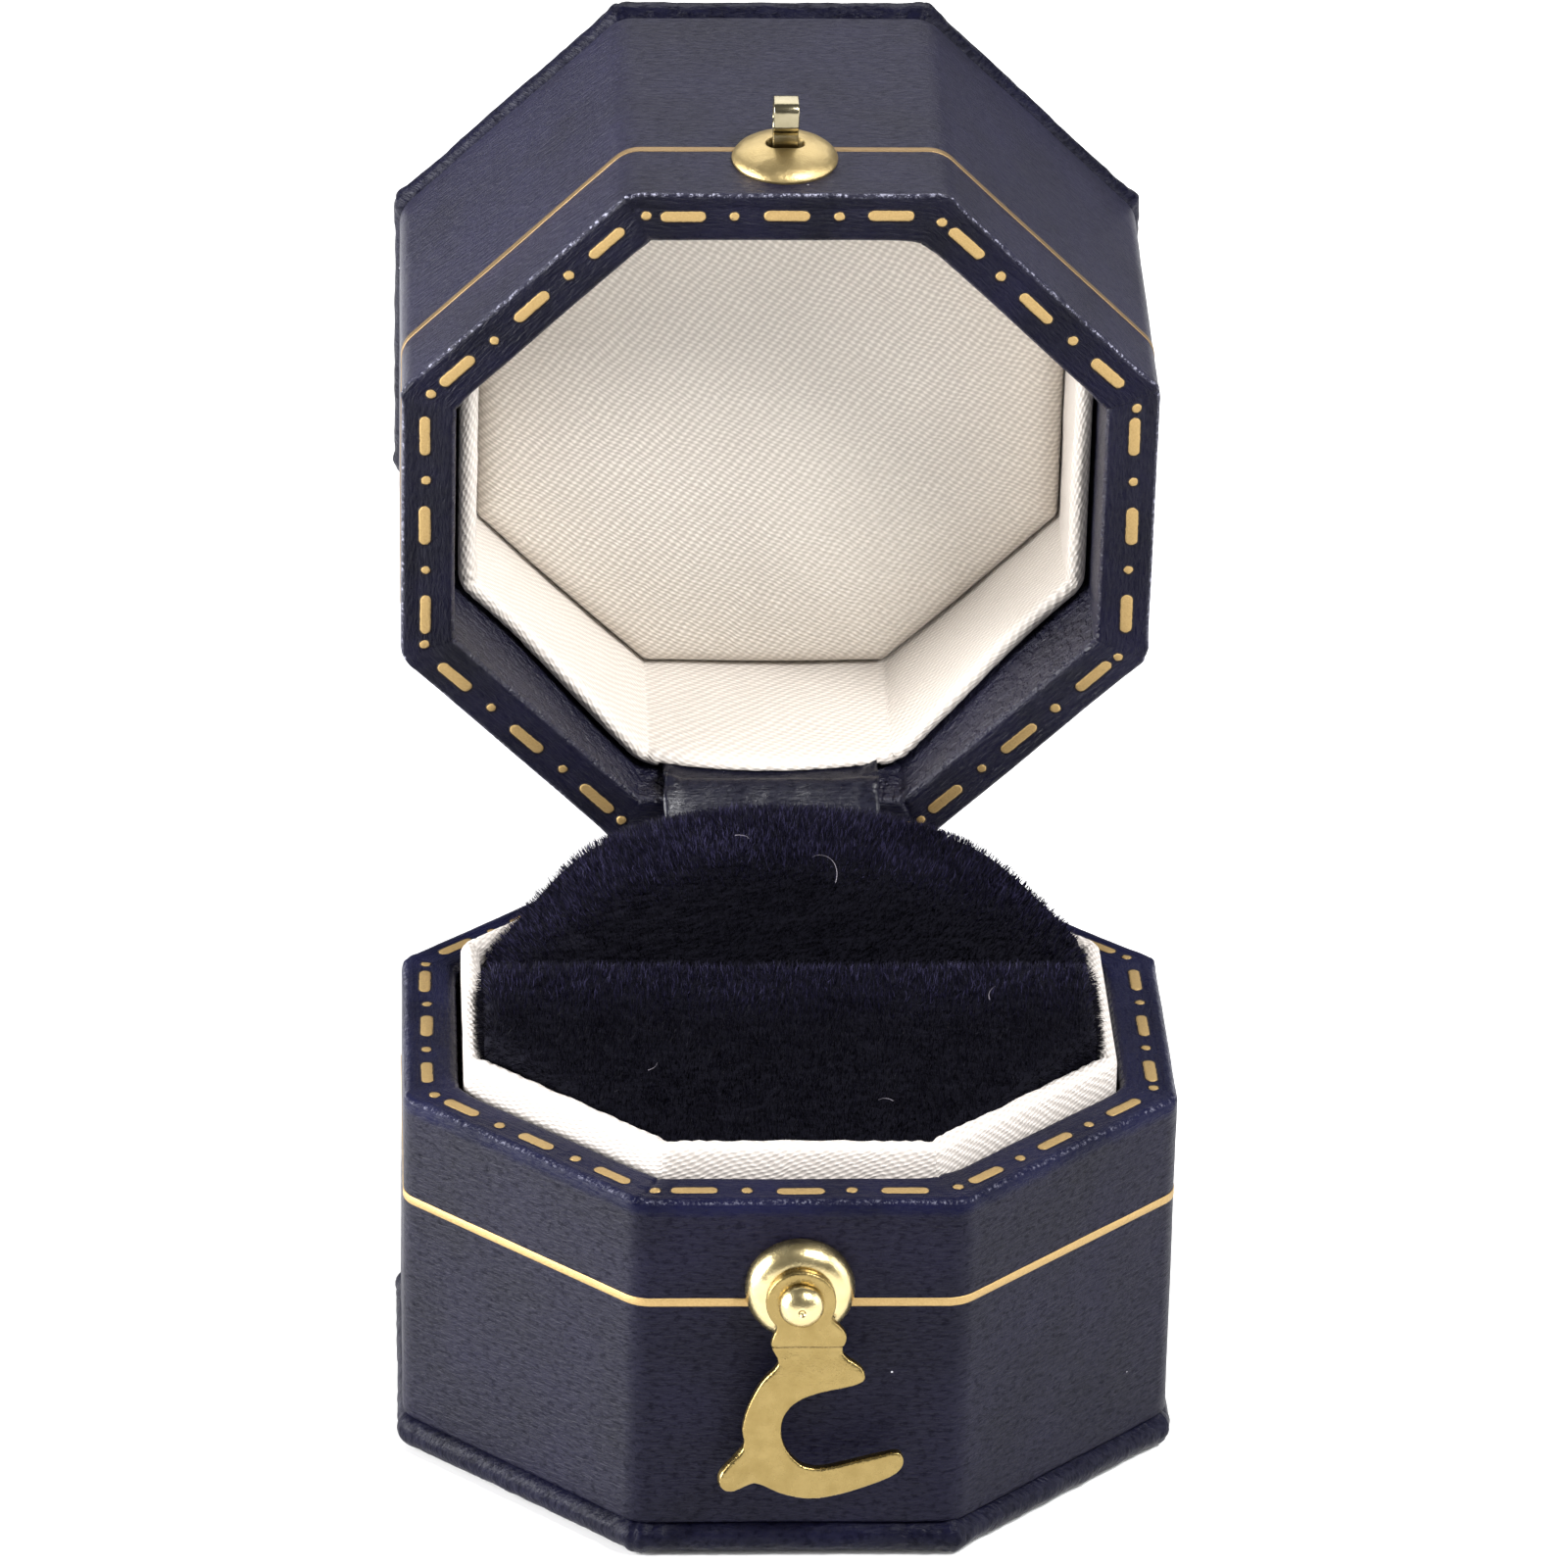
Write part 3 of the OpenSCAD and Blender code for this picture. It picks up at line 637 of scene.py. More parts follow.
def make_walls():
    base = octagon_sweep("base_leather", wall_profile(PLATE, RIM, PLATE, 1), HALF, WALL_CORNER,
                         wall_shift(1.7, 1), side_steps=WALL_STEPS)
    press_rim(base, RIM, 1)
    place(base, "base", NAVY_BASE, "leather_cloth", ["base_wall_wrap"])
    lid = octagon_sweep("lid_leather", wall_profile(LID_PLATE, LID_RIM, LID_PLATE, -1), HALF,
                        WALL_CORNER, wall_shift(4.1, -1), side_steps=WALL_STEPS, shut_lid=True, facing=-1)
    press_rim(lid, LID_RIM, -1)
    lid.data.flip_normals()
    place(lid, "lid", NAVY_LID, "leather_cloth", ["lid_wall_wrap"])
    for node, body, seed, up in (("base_foil_line", "base", 1.7, 1),
                                 ("lid_foil_line", "lid", 4.1, -1)):
        low, high = box_mm(node) if up > 0 else shut_box(node)
        z0, z1 = low.z, high.z
        proud, under = -0.035, 0.12
        profile = [(under, z0), (proud + 0.02, z0), (proud, z0 + 0.05), (proud, z1 - 0.05),
                   (proud + 0.02, z1), (under, z1)]
        wall = wall_shift(seed, up)

        def follow(side, t, length, inset, height, point, normal, wall=wall):
            return 0.0 if abs(normal[2]) > 0.5 else wall(side, t, length, 0.0, height, point,
                                                         normal)
        band = octagon_sweep(node + "_gold", profile, HALF, WALL_CORNER, follow, side_steps=WALL_STEPS,
                             shut_lid=up < 0)
        place(band, body, FOIL if up > 0 else SHADED_COPY_FOIL, "gold_foil", [node])


# ---------------------------------------------------------------- bottom and top plates
def plate_shift(seed, corners):
    """Soft unevenness and the gathered folds at the corners of a wrapped plate."""
    def shift(side, t, length, inset, height, point, normal):
        x, y, z = point
        move = 0.05 * clump(x, y, z, 7.0, seed) + 0.02 * clump(x, y, z, 1.6, seed)
        from_corner = length - abs(t)
        if inset < 3:
            near = math.exp(-((from_corner / 1.3) ** 2))
            pleat = math.sin(from_corner * 4.2 + side)
            move += near * (0.10 * corners[side] + 0.05 * pleat + 0.12 * clump(x, y, z, 0.9, seed))
            move += 0.07 * clump(x, y, z * 2, 0.8, seed + 2)
        return move
    return shift


def plate_profile(low, high):
    """A plate with a rounded edge, from the middle of its lower face to near its upper one."""
    r = (high - low) / 2
    edge = arc(r, low + r, r, 270, 90, 14)
    face_low = [(18.0, low), (10.0, low), (4.0, low), (2.2, low)]
    face_high = [(2.2, high), (3.2, high), (4.4, high)]
    return face_low + edge + face_high


def make_plates():
    corners = [0.6, 1.2, 0.5, 0.8, 0.4, 0.9, 0.6, 1.0]
    bottom = octagon_sweep("bottom_leather", plate_profile(0, PLATE), BOTTOM_HALF, PLATE_CORNER,
                           plate_shift(2.3, corners), closed=False, side_steps=36)
    settle(bottom)
    place(bottom, "base", NAVY_PLATE, "leather_cloth", ["bottom_wrap"])
    high_first = [(d, LID_TOP + LID_PLATE - z) for d, z in plate_profile(LID_PLATE, LID_TOP)]
    top = octagon_sweep("lid_top_leather", high_first, BOTTOM_HALF, PLATE_CORNER,
                        plate_shift(6.1, corners), closed=False, side_steps=36, shut_lid=True,
                        facing=-1)
    top.data.flip_normals()
    place(top, "lid", NAVY_PLATE, "leather_cloth", ["lid_top_wrap"])


def settle(piece):
    """Nothing of the underside hangs below the table."""
    for v in piece.data.vertices:
        v.co.z = max(v.co.z, 0.0)


# ---------------------------------------------------------------- gold stamping on the rims
def stamp_outline(long_half, wide_half, wobble, seed):
    """A bar with round ends, or a dot, with a slightly rough edge."""
    r = wide_half
    straight = max(long_half - r, 0)
    steps = 9
    points = []
    for sign, start in ((1, -90), (-1, 90)):
        for k in range(steps + 1):
            a = math.radians(start + 180 * k / steps)
            points.append((sign * straight + r * math.cos(a), r * math.sin(a)))
    out = []
    for i, (a, b) in enumerate(points):
        c, d = points[(i + 1) % len(points)]
        parts = 12 if math.dist((a, b), (c, d)) > 0.5 else 1
        for k in range(parts):
            x, y = a + (c - a) * k / parts, b + (d - b) * k / parts
            n = wobble * clump(x * 3, y * 3, 0, 0.6, seed)
            size = math.hypot(x, y) or 1
            out.append((x + n * x / size, y + n * y / size))
    return out


def make_stamping(name, rim, up, body, seed):
    """Dash, dot, dash along each side, on the leather of the rim, but not over the hinge."""
    inset, pitch = 1.5, 3.2 if body == "base" else 3.28
    jitter = random.uniform
    rings = [(0.0, -0.08), (0.0, 0.02), (0.08, -0.01), (0.1, 0.02), (0.2, 0.035)]
    vertices, faces, shades = [], [], []
    for side in range(8):
        angle = side_angle(side)
        for place_at in range(-3, 4):
            t = place_at * pitch
            dash = place_at % 2 == 0
            if side == 4 and abs(t) < 7:
                continue
            t += jitter(-0.07, 0.07)
            if abs(place_at) == 3:
                t = math.copysign((HALF - inset) * TAN - 0.55, place_at) + jitter(-0.1, 0.1)
                if place_at > 0 and side != 3:
                    continue
            long_half = 1.42 + jitter(-0.05, 0.05) if dash else 0.33 + jitter(-0.04, 0.02)
            wide_half = (0.36 if dash else 0.31) + jitter(-0.02, 0.03)
            tilt = jitter(-0.02, 0.02)
            away = HALF - inset + jitter(-0.06, 0.06)
            start = len(vertices)
            for inward, lift in rings:
                outline = stamp_outline(long_half + 0.08 - inward, wide_half + 0.08 - inward,
                                        0.05, side * 7.3 + place_at)
                for x, y in outline:
                    a, b = x - tilt * y + t, y + tilt * x
                    px, py = on_side(angle, away + b, a)
                    stand = rim_lift(seed, up, side, a, HALF - (away + b)) + lift
                    vertices.append((px, py, rim + up * stand))
            n = len(outline)
            for ring in range(len(rings) - 1):
                for k in range(n):
                    k2 = (k + 1) % n
                    a = start + ring * n
                    quad = (a + k, a + k2, a + n + k2, a + n + k)
                    faces.append(quad if up > 0 else quad[::-1])
                    shades.append(1 if ring < 2 else 0)
            top = tuple(range(start + (len(rings) - 1) * n, start + len(rings) * n))
            low = tuple(range(start, start + n))
            faces.append(top if up > 0 else top[::-1])
            faces.append(low[::-1] if up > 0 else low)
            shades += [0, 1]
    piece = new_object(name, vertices, faces, shut_lid=body == "lid")
    place(piece, body, FOIL, "gold_foil")
    piece.data.materials.append(SCORCH)
    piece.data.polygons.foreach_set("material_index", shades)


# ---------------------------------------------------------------- satin collars
def collar_profile(foot, edge, up, r=COLLAR_T / 2):
    rise = abs(edge - foot) - r
    outer = line((0, foot), (0, foot + up * rise), 12)
    outer += [(d, foot + up * (rise + z)) for d, z in arc(r, 0, r, 180, 0, 12)]
    outer += line((COLLAR_T, foot + up * rise), (COLLAR_T, foot), 26)[1:]
    return outer + [(COLLAR_T, foot)]


def droop(side, t, length):
    """How much nearer the rim the lid collar's edge comes at the rear."""
    q = t / length
    if side == 4:
        return 2.7 + 1.3 * (1 - q * q)
    if side in (3, 5):
        near = q if side == 3 else -q
        return 2.7 * ease((near + 1) / 2) ** 1.5
    return 0.0


def collar_shift(seed, loose, edge):
    def shift(side, t, length, inset, height, point, normal):
        x, y, z = point
        move = loose * (0.10 * clump(x, y, z, 6.0, seed) + 0.05 * clump(x, y, z, 2.0, seed))
        from_corner = length - abs(t)
        move -= 0.12 * math.exp(-((from_corner / 0.3) ** 2)) * (inset > 0.5)
        near_edge = math.exp(-(((height - edge) / 0.5) ** 2))
        move += near_edge * 0.045 * math.sin(t * 7 + 6 * height + 2 * side) * loose
        return min(move, 0.1 if inset > 0.5 else -0.02)
    return shift


def notch(piece, low, high):
    """Room behind a collar for the hinge's leaf and flap, between two heights."""
    wide, back = box_mm("hinge_flap")[1].x + 0.3, INNER - 0.82
    points, _ = read_points(piece.data)
    x, y, z = (points / MM).T
    behind = (np.abs(x) < wide) & (y > back) & (z > low) & (z < high)
    points[behind, 1] = back * MM
    write_points(piece.data, points)


def make_collars():
    edge = COLLAR_TOP - 0.35
    base = octagon_sweep("base_collar", collar_profile(PLATE, edge, 1), COLLAR_OUT,
                         BASE_COLLAR_CORNER, collar_shift(3.2, 0.9, edge), side_steps=30)
    notch(base, FLAP_LOW - 0.5, COLLAR_TOP + 1)
    place(base, "base", BASE_COLLAR, "white_satin", ["base_collar_satin", "base_collar_card"])
    lid = octagon_sweep("lid_collar", collar_profile(LID_PLATE, LID_COLLAR, -1), COLLAR_OUT,
                        LID_COLLAR_CORNER, collar_shift(8.4, 1.0, LID_COLLAR), side_steps=36,
                        shut_lid=True, facing=-1)
    points, _ = read_points(lid.data)
    for i, (x, y, z) in enumerate(points / MM):
        angle = math.degrees(math.atan2(y, x))
        side = int(((angle + 90 + 22.5) % 360) // 45)
        turn = side_angle(side)
        t = -x * math.sin(turn) + y * math.cos(turn)
        away = x * math.cos(turn) + y * math.sin(turn)
        share = min(max((LID_PLATE - z) / (LID_PLATE - LID_COLLAR), 0), 1) ** 3
        points[i][2] -= droop(side, t, away * TAN) * share * MM
    write_points(lid.data, points)
    notch(lid, LID_RIM, FLAP_HIGH + 0.5)
    lid.data.flip_normals()
    place(lid, "lid", COLLAR, "white_satin", ["lid_collar_satin", "lid_collar_card"])


# ---------------------------------------------------------------- octagonal height field
def octagon_field(name, height, low, y_from, y_to, half, rows, columns, shut_lid=False,
                  flip=False):
    """A closed pad whose top is height(x, y) over the octagon between two y lines."""
    def reach(y):
        return min(half, half * math.sqrt(2) - abs(y))
    points, uvs = [], []
    for i in range(rows + 1):
        y = y_from + (y_to - y_from) * i / rows
        for j in range(columns + 1):
            q = -1 + 2 * j / columns
            x = reach(y) * math.copysign(1 - (1 - abs(q)) ** 1.3, q)
            points.append((x, y, height(x, y)))
    faces = grid_faces(rows, columns)
    rim = last = grid_rim(rows, columns)
    for level in (0.5, 1.0):
        start = len(points)
        for v in rim:
            x, y, z = points[v]
            points.append((x, y, z + (low - z) * level))
        ring = list(range(start, start + len(rim)))
        for k in range(len(rim)):
            k2 = (k + 1) % len(rim)
            faces.append((last[k2], last[k], ring[k], ring[k2]))
        last = ring
    faces.append(tuple(reversed(last)))
    if flip:
        faces = [f[::-1] for f in faces]
    for f in faces:
        uvs += [(points[v][0], points[v][1]) for v in f]
    return new_object(name, points, faces, shut_lid, uvs)


# ---------------------------------------------------------------- velvet ring pad
SLOT = 0.3
NAP = 0.55


def round_off(gap, r):
    """Height lost within r of an edge that rolls over like a quarter circle."""
    if gap >= r:
        return 0.0
    gap = max(gap, 0.0)
    return r - math.sqrt(max(r * r - (r - gap) ** 2, 0.0))


def edge_gap(x, y):
    """Distance to the collar."""
    return min(FILL - abs(x), FILL - abs(y), FILL - (abs(x) + abs(y)) / math.sqrt(2))


def front_height(x, y):
    q = min(max((-y - SLOT) / (FILL - SLOT), 0), 1)
    z = FRONT_TOP + 0.8 - NAP - 4.8 * q ** 1.6
    z -= round_off(-y - SLOT, 1.1) + round_off(edge_gap(x, y), 0.7)
    return z + 0.12 * clump(x, y, 0, 5.0, 1.0)


def rear_height(x, y):
    arch = 5.8 * (x / 18.3) ** 2.2 if x > 0 else 5.2 * (-x / 15.8) ** 2.3
    top = REAR_TOP + 0.5 - NAP - arch
    face = ease((y - SLOT + 1.8) / 8.5)
    start = min(FRONT_TOP - 3.0, top - 0.3)
    z = start + (top - start) * face
    back = max(y - 12.0, 0) / (FILL - 12.0)
    z -= 4.5 * back ** 2
    z -= round_off(y - SLOT, 1.0) + round_off(edge_gap(x, y), 0.7)
    return z + 0.15 * clump(x, y, 0, 6.0, 2.0)


def grow_pile(name, ground, count, body):
    """Velvet threads: thin tapered blades that lean a little, each in one of four shades."""
    mesh = ground.data
    tops = [p for p in mesh.polygons if p.normal.z > -0.2 and p.center.z > (RIM - 1.5) * MM
            and len(p.vertices) == 4]
    weights = np.cumsum([p.area for p in tops])
    draw = np.random.default_rng(11)
    picks = np.searchsorted(weights, draw.random(count) * weights[-1])
    vertices, faces, shades = [], [], []
    for pick in picks:
        face = tops[min(pick, len(tops) - 1)]
        a, b, c, d = (mesh.vertices[v].co for v in face.vertices)
        u, v = draw.random(), draw.random()
        root = (a * (1 - u) + b * u) * (1 - v) + (d * (1 - u) + c * u) * v
        up = face.normal
        sway = clump(root.x / MM, root.y / MM, 0, 3.5, 5)
        sway2 = clump(root.x / MM, root.y / MM, 0, 3.5, 9)
        lean = Vector((0.3 * sway, -0.1 + 0.25 * sway2, 0.1)) + Vector(draw.normal(0, 0.16, 3))
        way = (up + lean).normalized()
        tall = NAP * (0.75 + 0.5 * draw.random()) * MM
        side = way.cross(Vector(draw.normal(0, 1, 3))).normalized() * 0.026 * MM
        bend = Vector(draw.normal(0, 0.12, 3)) * tall
        mid = root + way * tall * 0.55
        tip = root + way * tall + bend
        if tip.y > 6 * MM and edge_gap(tip.x / MM, tip.y / MM) < 0.1:
            continue
        base = root - up * 0.1 * MM
        k = len(vertices)
        vertices += [base - side, base + side, mid + side * 0.85, mid - side * 0.85, tip]
        faces += [(k, k + 1, k + 2, k + 3), (k + 3, k + 2, k + 4)]
        # Painted sheen: blades near the crest of each roll take the lighter shades, in place of the
        # velvet's sheen there; the rest of the shade varies at random.
        z, y = root.z / MM, root.y / MM
        crest_sheen_paint = ease((z - FRONT_TOP + 0.9) / 1.0) if y < 0 else \
            ease((z - rear_height(root.x / MM, 9.0) + 2.0) / 2.0) * (y > 3)
        tone = 0.62 * draw.random() + 0.1 * sway + 0.42 * crest_sheen_paint
        shade = 0 if tone < 0.34 else 1 if tone < 0.68 else 2 if tone < 0.93 else 3
        shades += [shade, shade]
    made = bpy.data.meshes.new(name)
    made.from_pydata([tuple(v) for v in vertices], [], faces)
    for m in PILE:
        made.materials.append(m)
    made.polygons.foreach_set("material_index", shades)
    made.polygons.foreach_set("use_smooth", [True] * len(faces))
    piece = bpy.data.objects.new(name, made)
    SCENE.collection.objects.link(piece)
    place(piece, body, None, "velvet")


def make_ring_pad():
    front = octagon_field("velvet_front_roll", front_height, ROLL_LOW, -FILL, -SLOT, FILL, 60, 90)
    place(front, "base", VELVET, "velvet", ["front_roll"])
    rear = octagon_field("velvet_rear_roll", rear_height, ROLL_LOW, SLOT, FILL, FILL, 60, 90)
    place(rear, "base", VELVET, "velvet", ["rear_roll"])
    share = 1.0
    grow_pile("velvet_front_pile", front, int(46000 * share), "base")
    grow_pile("velvet_rear_pile", rear, int(56000 * share), "base")


# ---------------------------------------------------------------- lid cushion
def cushion_height(x, y):
    """Shut lid: the cushion's swell hangs down towards the pad."""
    reach = max(edge_gap(x, y), 0.0)
    dome = max(1 - (x * x + y * y) / (FILL * FILL * 1.12), 0.0)
    roll = 1 - math.exp(-reach / 0.5)
    edge = LID_RIM + CUSHION_DEPTH + 0.3
    swell = 0.6 * dome + 0.4 * roll
    return edge - (edge - CUSHION_CROWN) * swell + 0.06 * clump(x, y, 0, 6.0, 4)


def inflate(piece, seam, cap):
    """Blows a padded cover up as cloth, held at its seam; seam(x, y, z) in mm says what is held.

    It is done 20 times life size and scaled back so that nothing moves over cap millimetres.
    """
    up = 20.0
    mesh = piece.data.copy()
    mesh.transform(Matrix.Scale(up, 4))
    stand_in = bpy.data.objects.new("inflating", mesh)
    SCENE.collection.objects.link(stand_in)
    start, _ = read_points(piece.data)
    held = [i for i, p in enumerate(start / MM) if seam(*p)]
    group = stand_in.vertex_groups.new(name="held")
    group.add(held, 1.0, "REPLACE")
    cloth = stand_in.modifiers.new("cloth", "CLOTH")
    settings = cloth.settings
    settings.quality = 6
    settings.mass = 0.3
    settings.tension_stiffness = settings.compression_stiffness = 14
    settings.shear_stiffness = 5
    settings.bending_stiffness = 0.3
    settings.vertex_group_mass = "held"
    settings.use_pressure = True
    settings.uniform_pressure_force = 4.0
    settings.shrink_min = -0.025
    settings.effector_weights.gravity = 0
    cloth.collision_settings.use_collision = False
    cloth.collision_settings.use_self_collision = False
    cloth.point_cache.frame_start, cloth.point_cache.frame_end = 1, 20
    for number in range(1, 21):
        SCENE.frame_set(number)
    graph = bpy.context.evaluated_depsgraph_get()
    done = stand_in.evaluated_get(graph).to_mesh()
    moved, _ = read_points(done)
    step = moved / up - start
    step *= min(1.0, cap * MM / max(np.linalg.norm(step, axis=1).max(), 1e-9))
    write_points(piece.data, start + step)
    SCENE.frame_set(1)
    bpy.data.objects.remove(stand_in)
    bpy.data.meshes.remove(mesh)


def make_cushion():
    piece = octagon_field("lid_cushion_satin", cushion_height, CUSHION_BACK, -FILL, FILL, FILL,
                          90, 90, shut_lid=True, flip=True)
    inflate(piece, lambda x, y, z: edge_gap(x, y) < 0.15, 0.3)
    place(piece, "lid", IVORY, "ivory_satin", ["lid_cushion"])


# ---------------------------------------------------------------- clasp
def on_front(height):
    """Local X right, Y up, Z out of the front wall, at a height on it."""
    axes = Matrix(((1, 0, 0), (0, 0, -1), (0, 1, 0))).to_4x4()
    return Matrix.Translation((0, -HALF * MM, height * MM)) @ axes


def read_points(mesh):
    """A mesh's points and normals as arrays."""
    points = np.empty(len(mesh.vertices) * 3)
    mesh.vertices.foreach_get("co", points)
    normals = np.empty(len(mesh.vertices) * 3)
    mesh.vertex_normals.foreach_get("vector", normals)
    return points.reshape(-1, 3), normals.reshape(-1, 3)


def write_points(mesh, points):
    mesh.vertices.foreach_set("co", points.ravel())
    mesh.update()


def put_on_front(piece, height, on_lid):
    piece.matrix_world = (OPENED if on_lid else Matrix.Identity(4)) @ on_front(height)


def revolve(name, profile, segments=96):
    """Turns (radius, height) points about local Z."""
    vertices, faces, rings = [], [], []
    for r, h in profile:
        if r < 1e-6:
            rings.append([len(vertices)])
            vertices.append((0, 0, h))
            continue
        rings.append(list(range(len(vertices), len(vertices) + segments)))
        for k in range(segments):
            a = 2 * math.pi * k / segments
            vertices.append((r * math.cos(a), r * math.sin(a), h))
    for low, high in zip(rings, rings[1:]):
        for k in range(segments):
            k2 = (k + 1) % segments
            corners = [low[k % len(low)], low[k2 % len(low)], high[k2 % len(high)],
                       high[k % len(high)]]
            faces.append(tuple(dict.fromkeys(corners)))
    return new_object(name, vertices, faces)


def dent(piece, amount, size, seed):
    """Slight unevenness of a small casting."""
    mesh = piece.data
    points, normals = read_points(mesh)
    for i, (x, y, z) in enumerate(points / MM):
        points[i] += normals[i] * amount * MM * clump(x, y, z, size, seed)
    write_points(mesh, points)


def make_base_rosette():
    low, high = box_mm("base_rosette")
    radius = (high.x - low.x) / 2
    rise = high.y - low.y
    flat = 1.9
    profile = [(0.8, 0.3), (0.8, rise - 0.05), (0.85, rise), (flat - 0.1, rise)]
    profile += [(flat + (radius - flat) * math.cos(a), 0.22 + (rise - 0.22) * math.sin(a))
                for a in [math.radians(90 - 5 * k) for k in range(19)]]
    profile += [(radius, 0.12), (radius - 0.08, 0.0), (radius - 0.4, 0.0)]
    piece = revolve("base_rosette_dome", profile[::-1])
    dent(piece, 0.02, 1.2, 3)
    put_on_front(piece, PIVOT.z, False)
    place(piece, "base", BRASS, "brass", ["base_rosette"])


def make_rivet():
    """The hook turns on its shank; the ball's crown has a small pit."""
    radius, rise, shank = 1.4, 1.5, 0.75
    base = -HALF - box_mm("hook_rivet")[0].y - rise
    profile = [(0.0, -2.9), (1.2, -2.9), (1.3, -2.8), (1.3, -2.6), (1.2, -2.5), (shank, -2.5),
               (shank, base), (radius * 0.95, base), (radius, base + 0.07)]
    profile += [(radius * math.cos(a), base + 0.12 + 1.1 * math.sin(a))
                for a in [math.radians(6 * k) for k in range(1, 14)]]
    crown = base + 1.22
    profile += [(0.26, crown - 0.03), (0.2, crown - 0.12), (0.12, crown - 0.2),
                (0.0, crown - 0.22)]
    piece = revolve("hook_rivet_ball", profile, 72)
    put_on_front(piece, PIVOT.z, False)
    place(piece, "base", BRASS, "brass", ["hook_rivet"])


def make_lid_rosette():
    """A lens of brass with an upright-sided slot across its middle."""
    low, high = shut_box("lid_rosette")
    radius = (high.x - low.x) / 2
    rise = high.y - low.y
    long_half, wide_half = 1.2, 0.7
    segments = 96
    vertices, faces = [], []

    def slot_edge(a):
        """The slot's edge in the direction of angle a."""
        c, s = math.cos(a), math.sin(a)
        reach = wide_half / max(abs(s), 1e-6)
        mid = long_half - wide_half
        if abs(c) * reach > mid:
            b = abs(c) * mid
            reach = b + math.sqrt(max(b * b - mid * mid + wide_half * wide_half, 0))
        return reach

    shares = [0.0, 0.0, 0.02, 0.06, 0.12] + [0.12 + 0.88 * math.sin(math.pi / 2 * k / 16)
                                             for k in range(1, 17)]
    for k in range(segments):
        a = 2 * math.pi * k / segments
        near = slot_edge(a)
        for i, share in enumerate(shares):
            r = near + (radius - near) * share
            dome = rise * math.sqrt(max(1 - (r / radius) ** 2 * 0.985, 0.0))
            h = 0.1 if i == 0 else dome - (0.1 if i == 1 else 0.03 if i == 2 else 0.0)
            vertices.append((r * math.cos(a), r * math.sin(a), h))
        vertices.append((radius * math.cos(a) * 0.99, radius * math.sin(a) * 0.99, 0.0))
    wide = len(shares) + 1
    for k in range(segments):
        k2 = (k + 1) % segments
        for i in range(wide - 1):
            faces.append((k * wide + i, k * wide + i + 1, k2 * wide + i + 1, k2 * wide + i))
    piece = new_object("lid_rosette_dome", vertices, faces)
    dent(piece, 0.02, 1.1, 8)
    put_on_front(piece, KEEPER.z, True)
    place(piece, "lid", BRUSHED, "brass", ["lid_rosette"])


def make_keeper():
    """A flat strip bent into a squarish eye, its two legs down through the slot."""
    wide, thick = 1.6, 0.35
    centre, half = 3.25, 0.825
    path = [(-1.5, -2.75), (-0.6, -2.75), (-0.3, -2.6), (-0.25, -2.2), (-0.25, 1.9),
            (-0.28, 2.3)]
    corner = 0.42
    for cx, cz, start in ((-1, -1, 250), (-1, 1, 180), (1, 1, 90), (1, -1, 0)):
        steps = 8
        sweep = 90 if cz > 0 else 70
        for k in range(steps + 1):
            a = math.radians(start - sweep * k / steps)
            path.append((cx * (half - corner) + corner * math.cos(a),
                         centre + cz * (half - corner) + corner * math.sin(a)))
    path += [(0.28, 2.3), (0.25, 1.9), (0.25, -2.2), (0.3, -2.6), (0.6, -2.75), (1.5, -2.75)]
    sweep_strip("keeper_ribbon", path, wide, thick)


def sweep_strip(name, path, wide, thick):
    """A strip whose long edges are rounded, carried along (y, z) points; it is wide along X."""
    r = 0.09
    section = []
    for quarter, (sx, sn) in enumerate(((1, 1), (-1, 1), (-1, -1), (1, -1))):
        for k in range(4):
            a = math.radians(90 * quarter + 30 * k)
            section.append((sx * (wide / 2 - r) + r * math.cos(a),
                            sn * (thick / 2 - r) + r * math.sin(a)))
    vertices, faces = [], []
    n = len(section)
    for i, (y, z) in enumerate(path):
        a = path[max(i - 1, 0)]
        b = path[min(i + 1, len(path) - 1)]
        dy, dz = b[0] - a[0], b[1] - a[1]
        size = math.hypot(dy, dz) or 1
        ny, nz = -dz / size, dy / size
        for x, out in section:
            vertices.append((x, y + ny * out, z + nz * out))
    for i in range(len(path) - 1):
        for k in range(n):
            k2 = (k + 1) % n
            faces.append((i * n + k, i * n + k2, (i + 1) * n + k2, (i + 1) * n + k))
    faces.append(tuple(range(n))[::-1])
    faces.append(tuple((len(path) - 1) * n + k for k in range(n)))
    piece = new_object(name, vertices, faces)
    put_on_front(piece, KEEPER.z, True)
    place(piece, "lid", PALE, "pale_gilt", ["keeper_eye"])


def remeshed(node, name, voxel, rounds):
    """A fine, softened copy of a CAD node, with every sharp edge slightly rounded."""
    source = frame["nodes"][node]
    mesh = source.data.copy()
    mesh.transform(Matrix.Scale(1 / MM, 4))
    piece = bpy.data.objects.new(name, mesh)
    SCENE.collection.objects.link(piece)
    remesh = piece.modifiers.new("remesh", "REMESH")
    remesh.mode = "VOXEL"
    remesh.voxel_size = voxel
    soften = piece.modifiers.new("soften", "SMOOTH")
    soften.factor = 0.5
    soften.iterations = rounds
    bpy.context.view_layer.update()
    done = bpy.data.meshes.new_from_object(
        piece.evaluated_get(bpy.context.evaluated_depsgraph_get()))
    piece.modifiers.clear()
    piece.data = done
    return piece


def make_hook():
    piece = remeshed("hook", "hook_plate", 0.07, 26)
    piece.data.transform(Matrix.Scale(MM, 4))
    dent(piece, 0.016, 1.6, 4)
    points, _ = read_points(piece.data)
    down = PIVOT.z - 3.0 - points[:, 2] / MM
    points[:, 1] -= 0.26 * MM * np.clip(down / 2.6, 0, 1) ** 0.8 * (down > 0)
    write_points(piece.data, points)
    piece.data.polygons.foreach_set("use_smooth", [True] * len(piece.data.polygons))
    place(piece, "hook", HOOK, "brass", ["hook"])


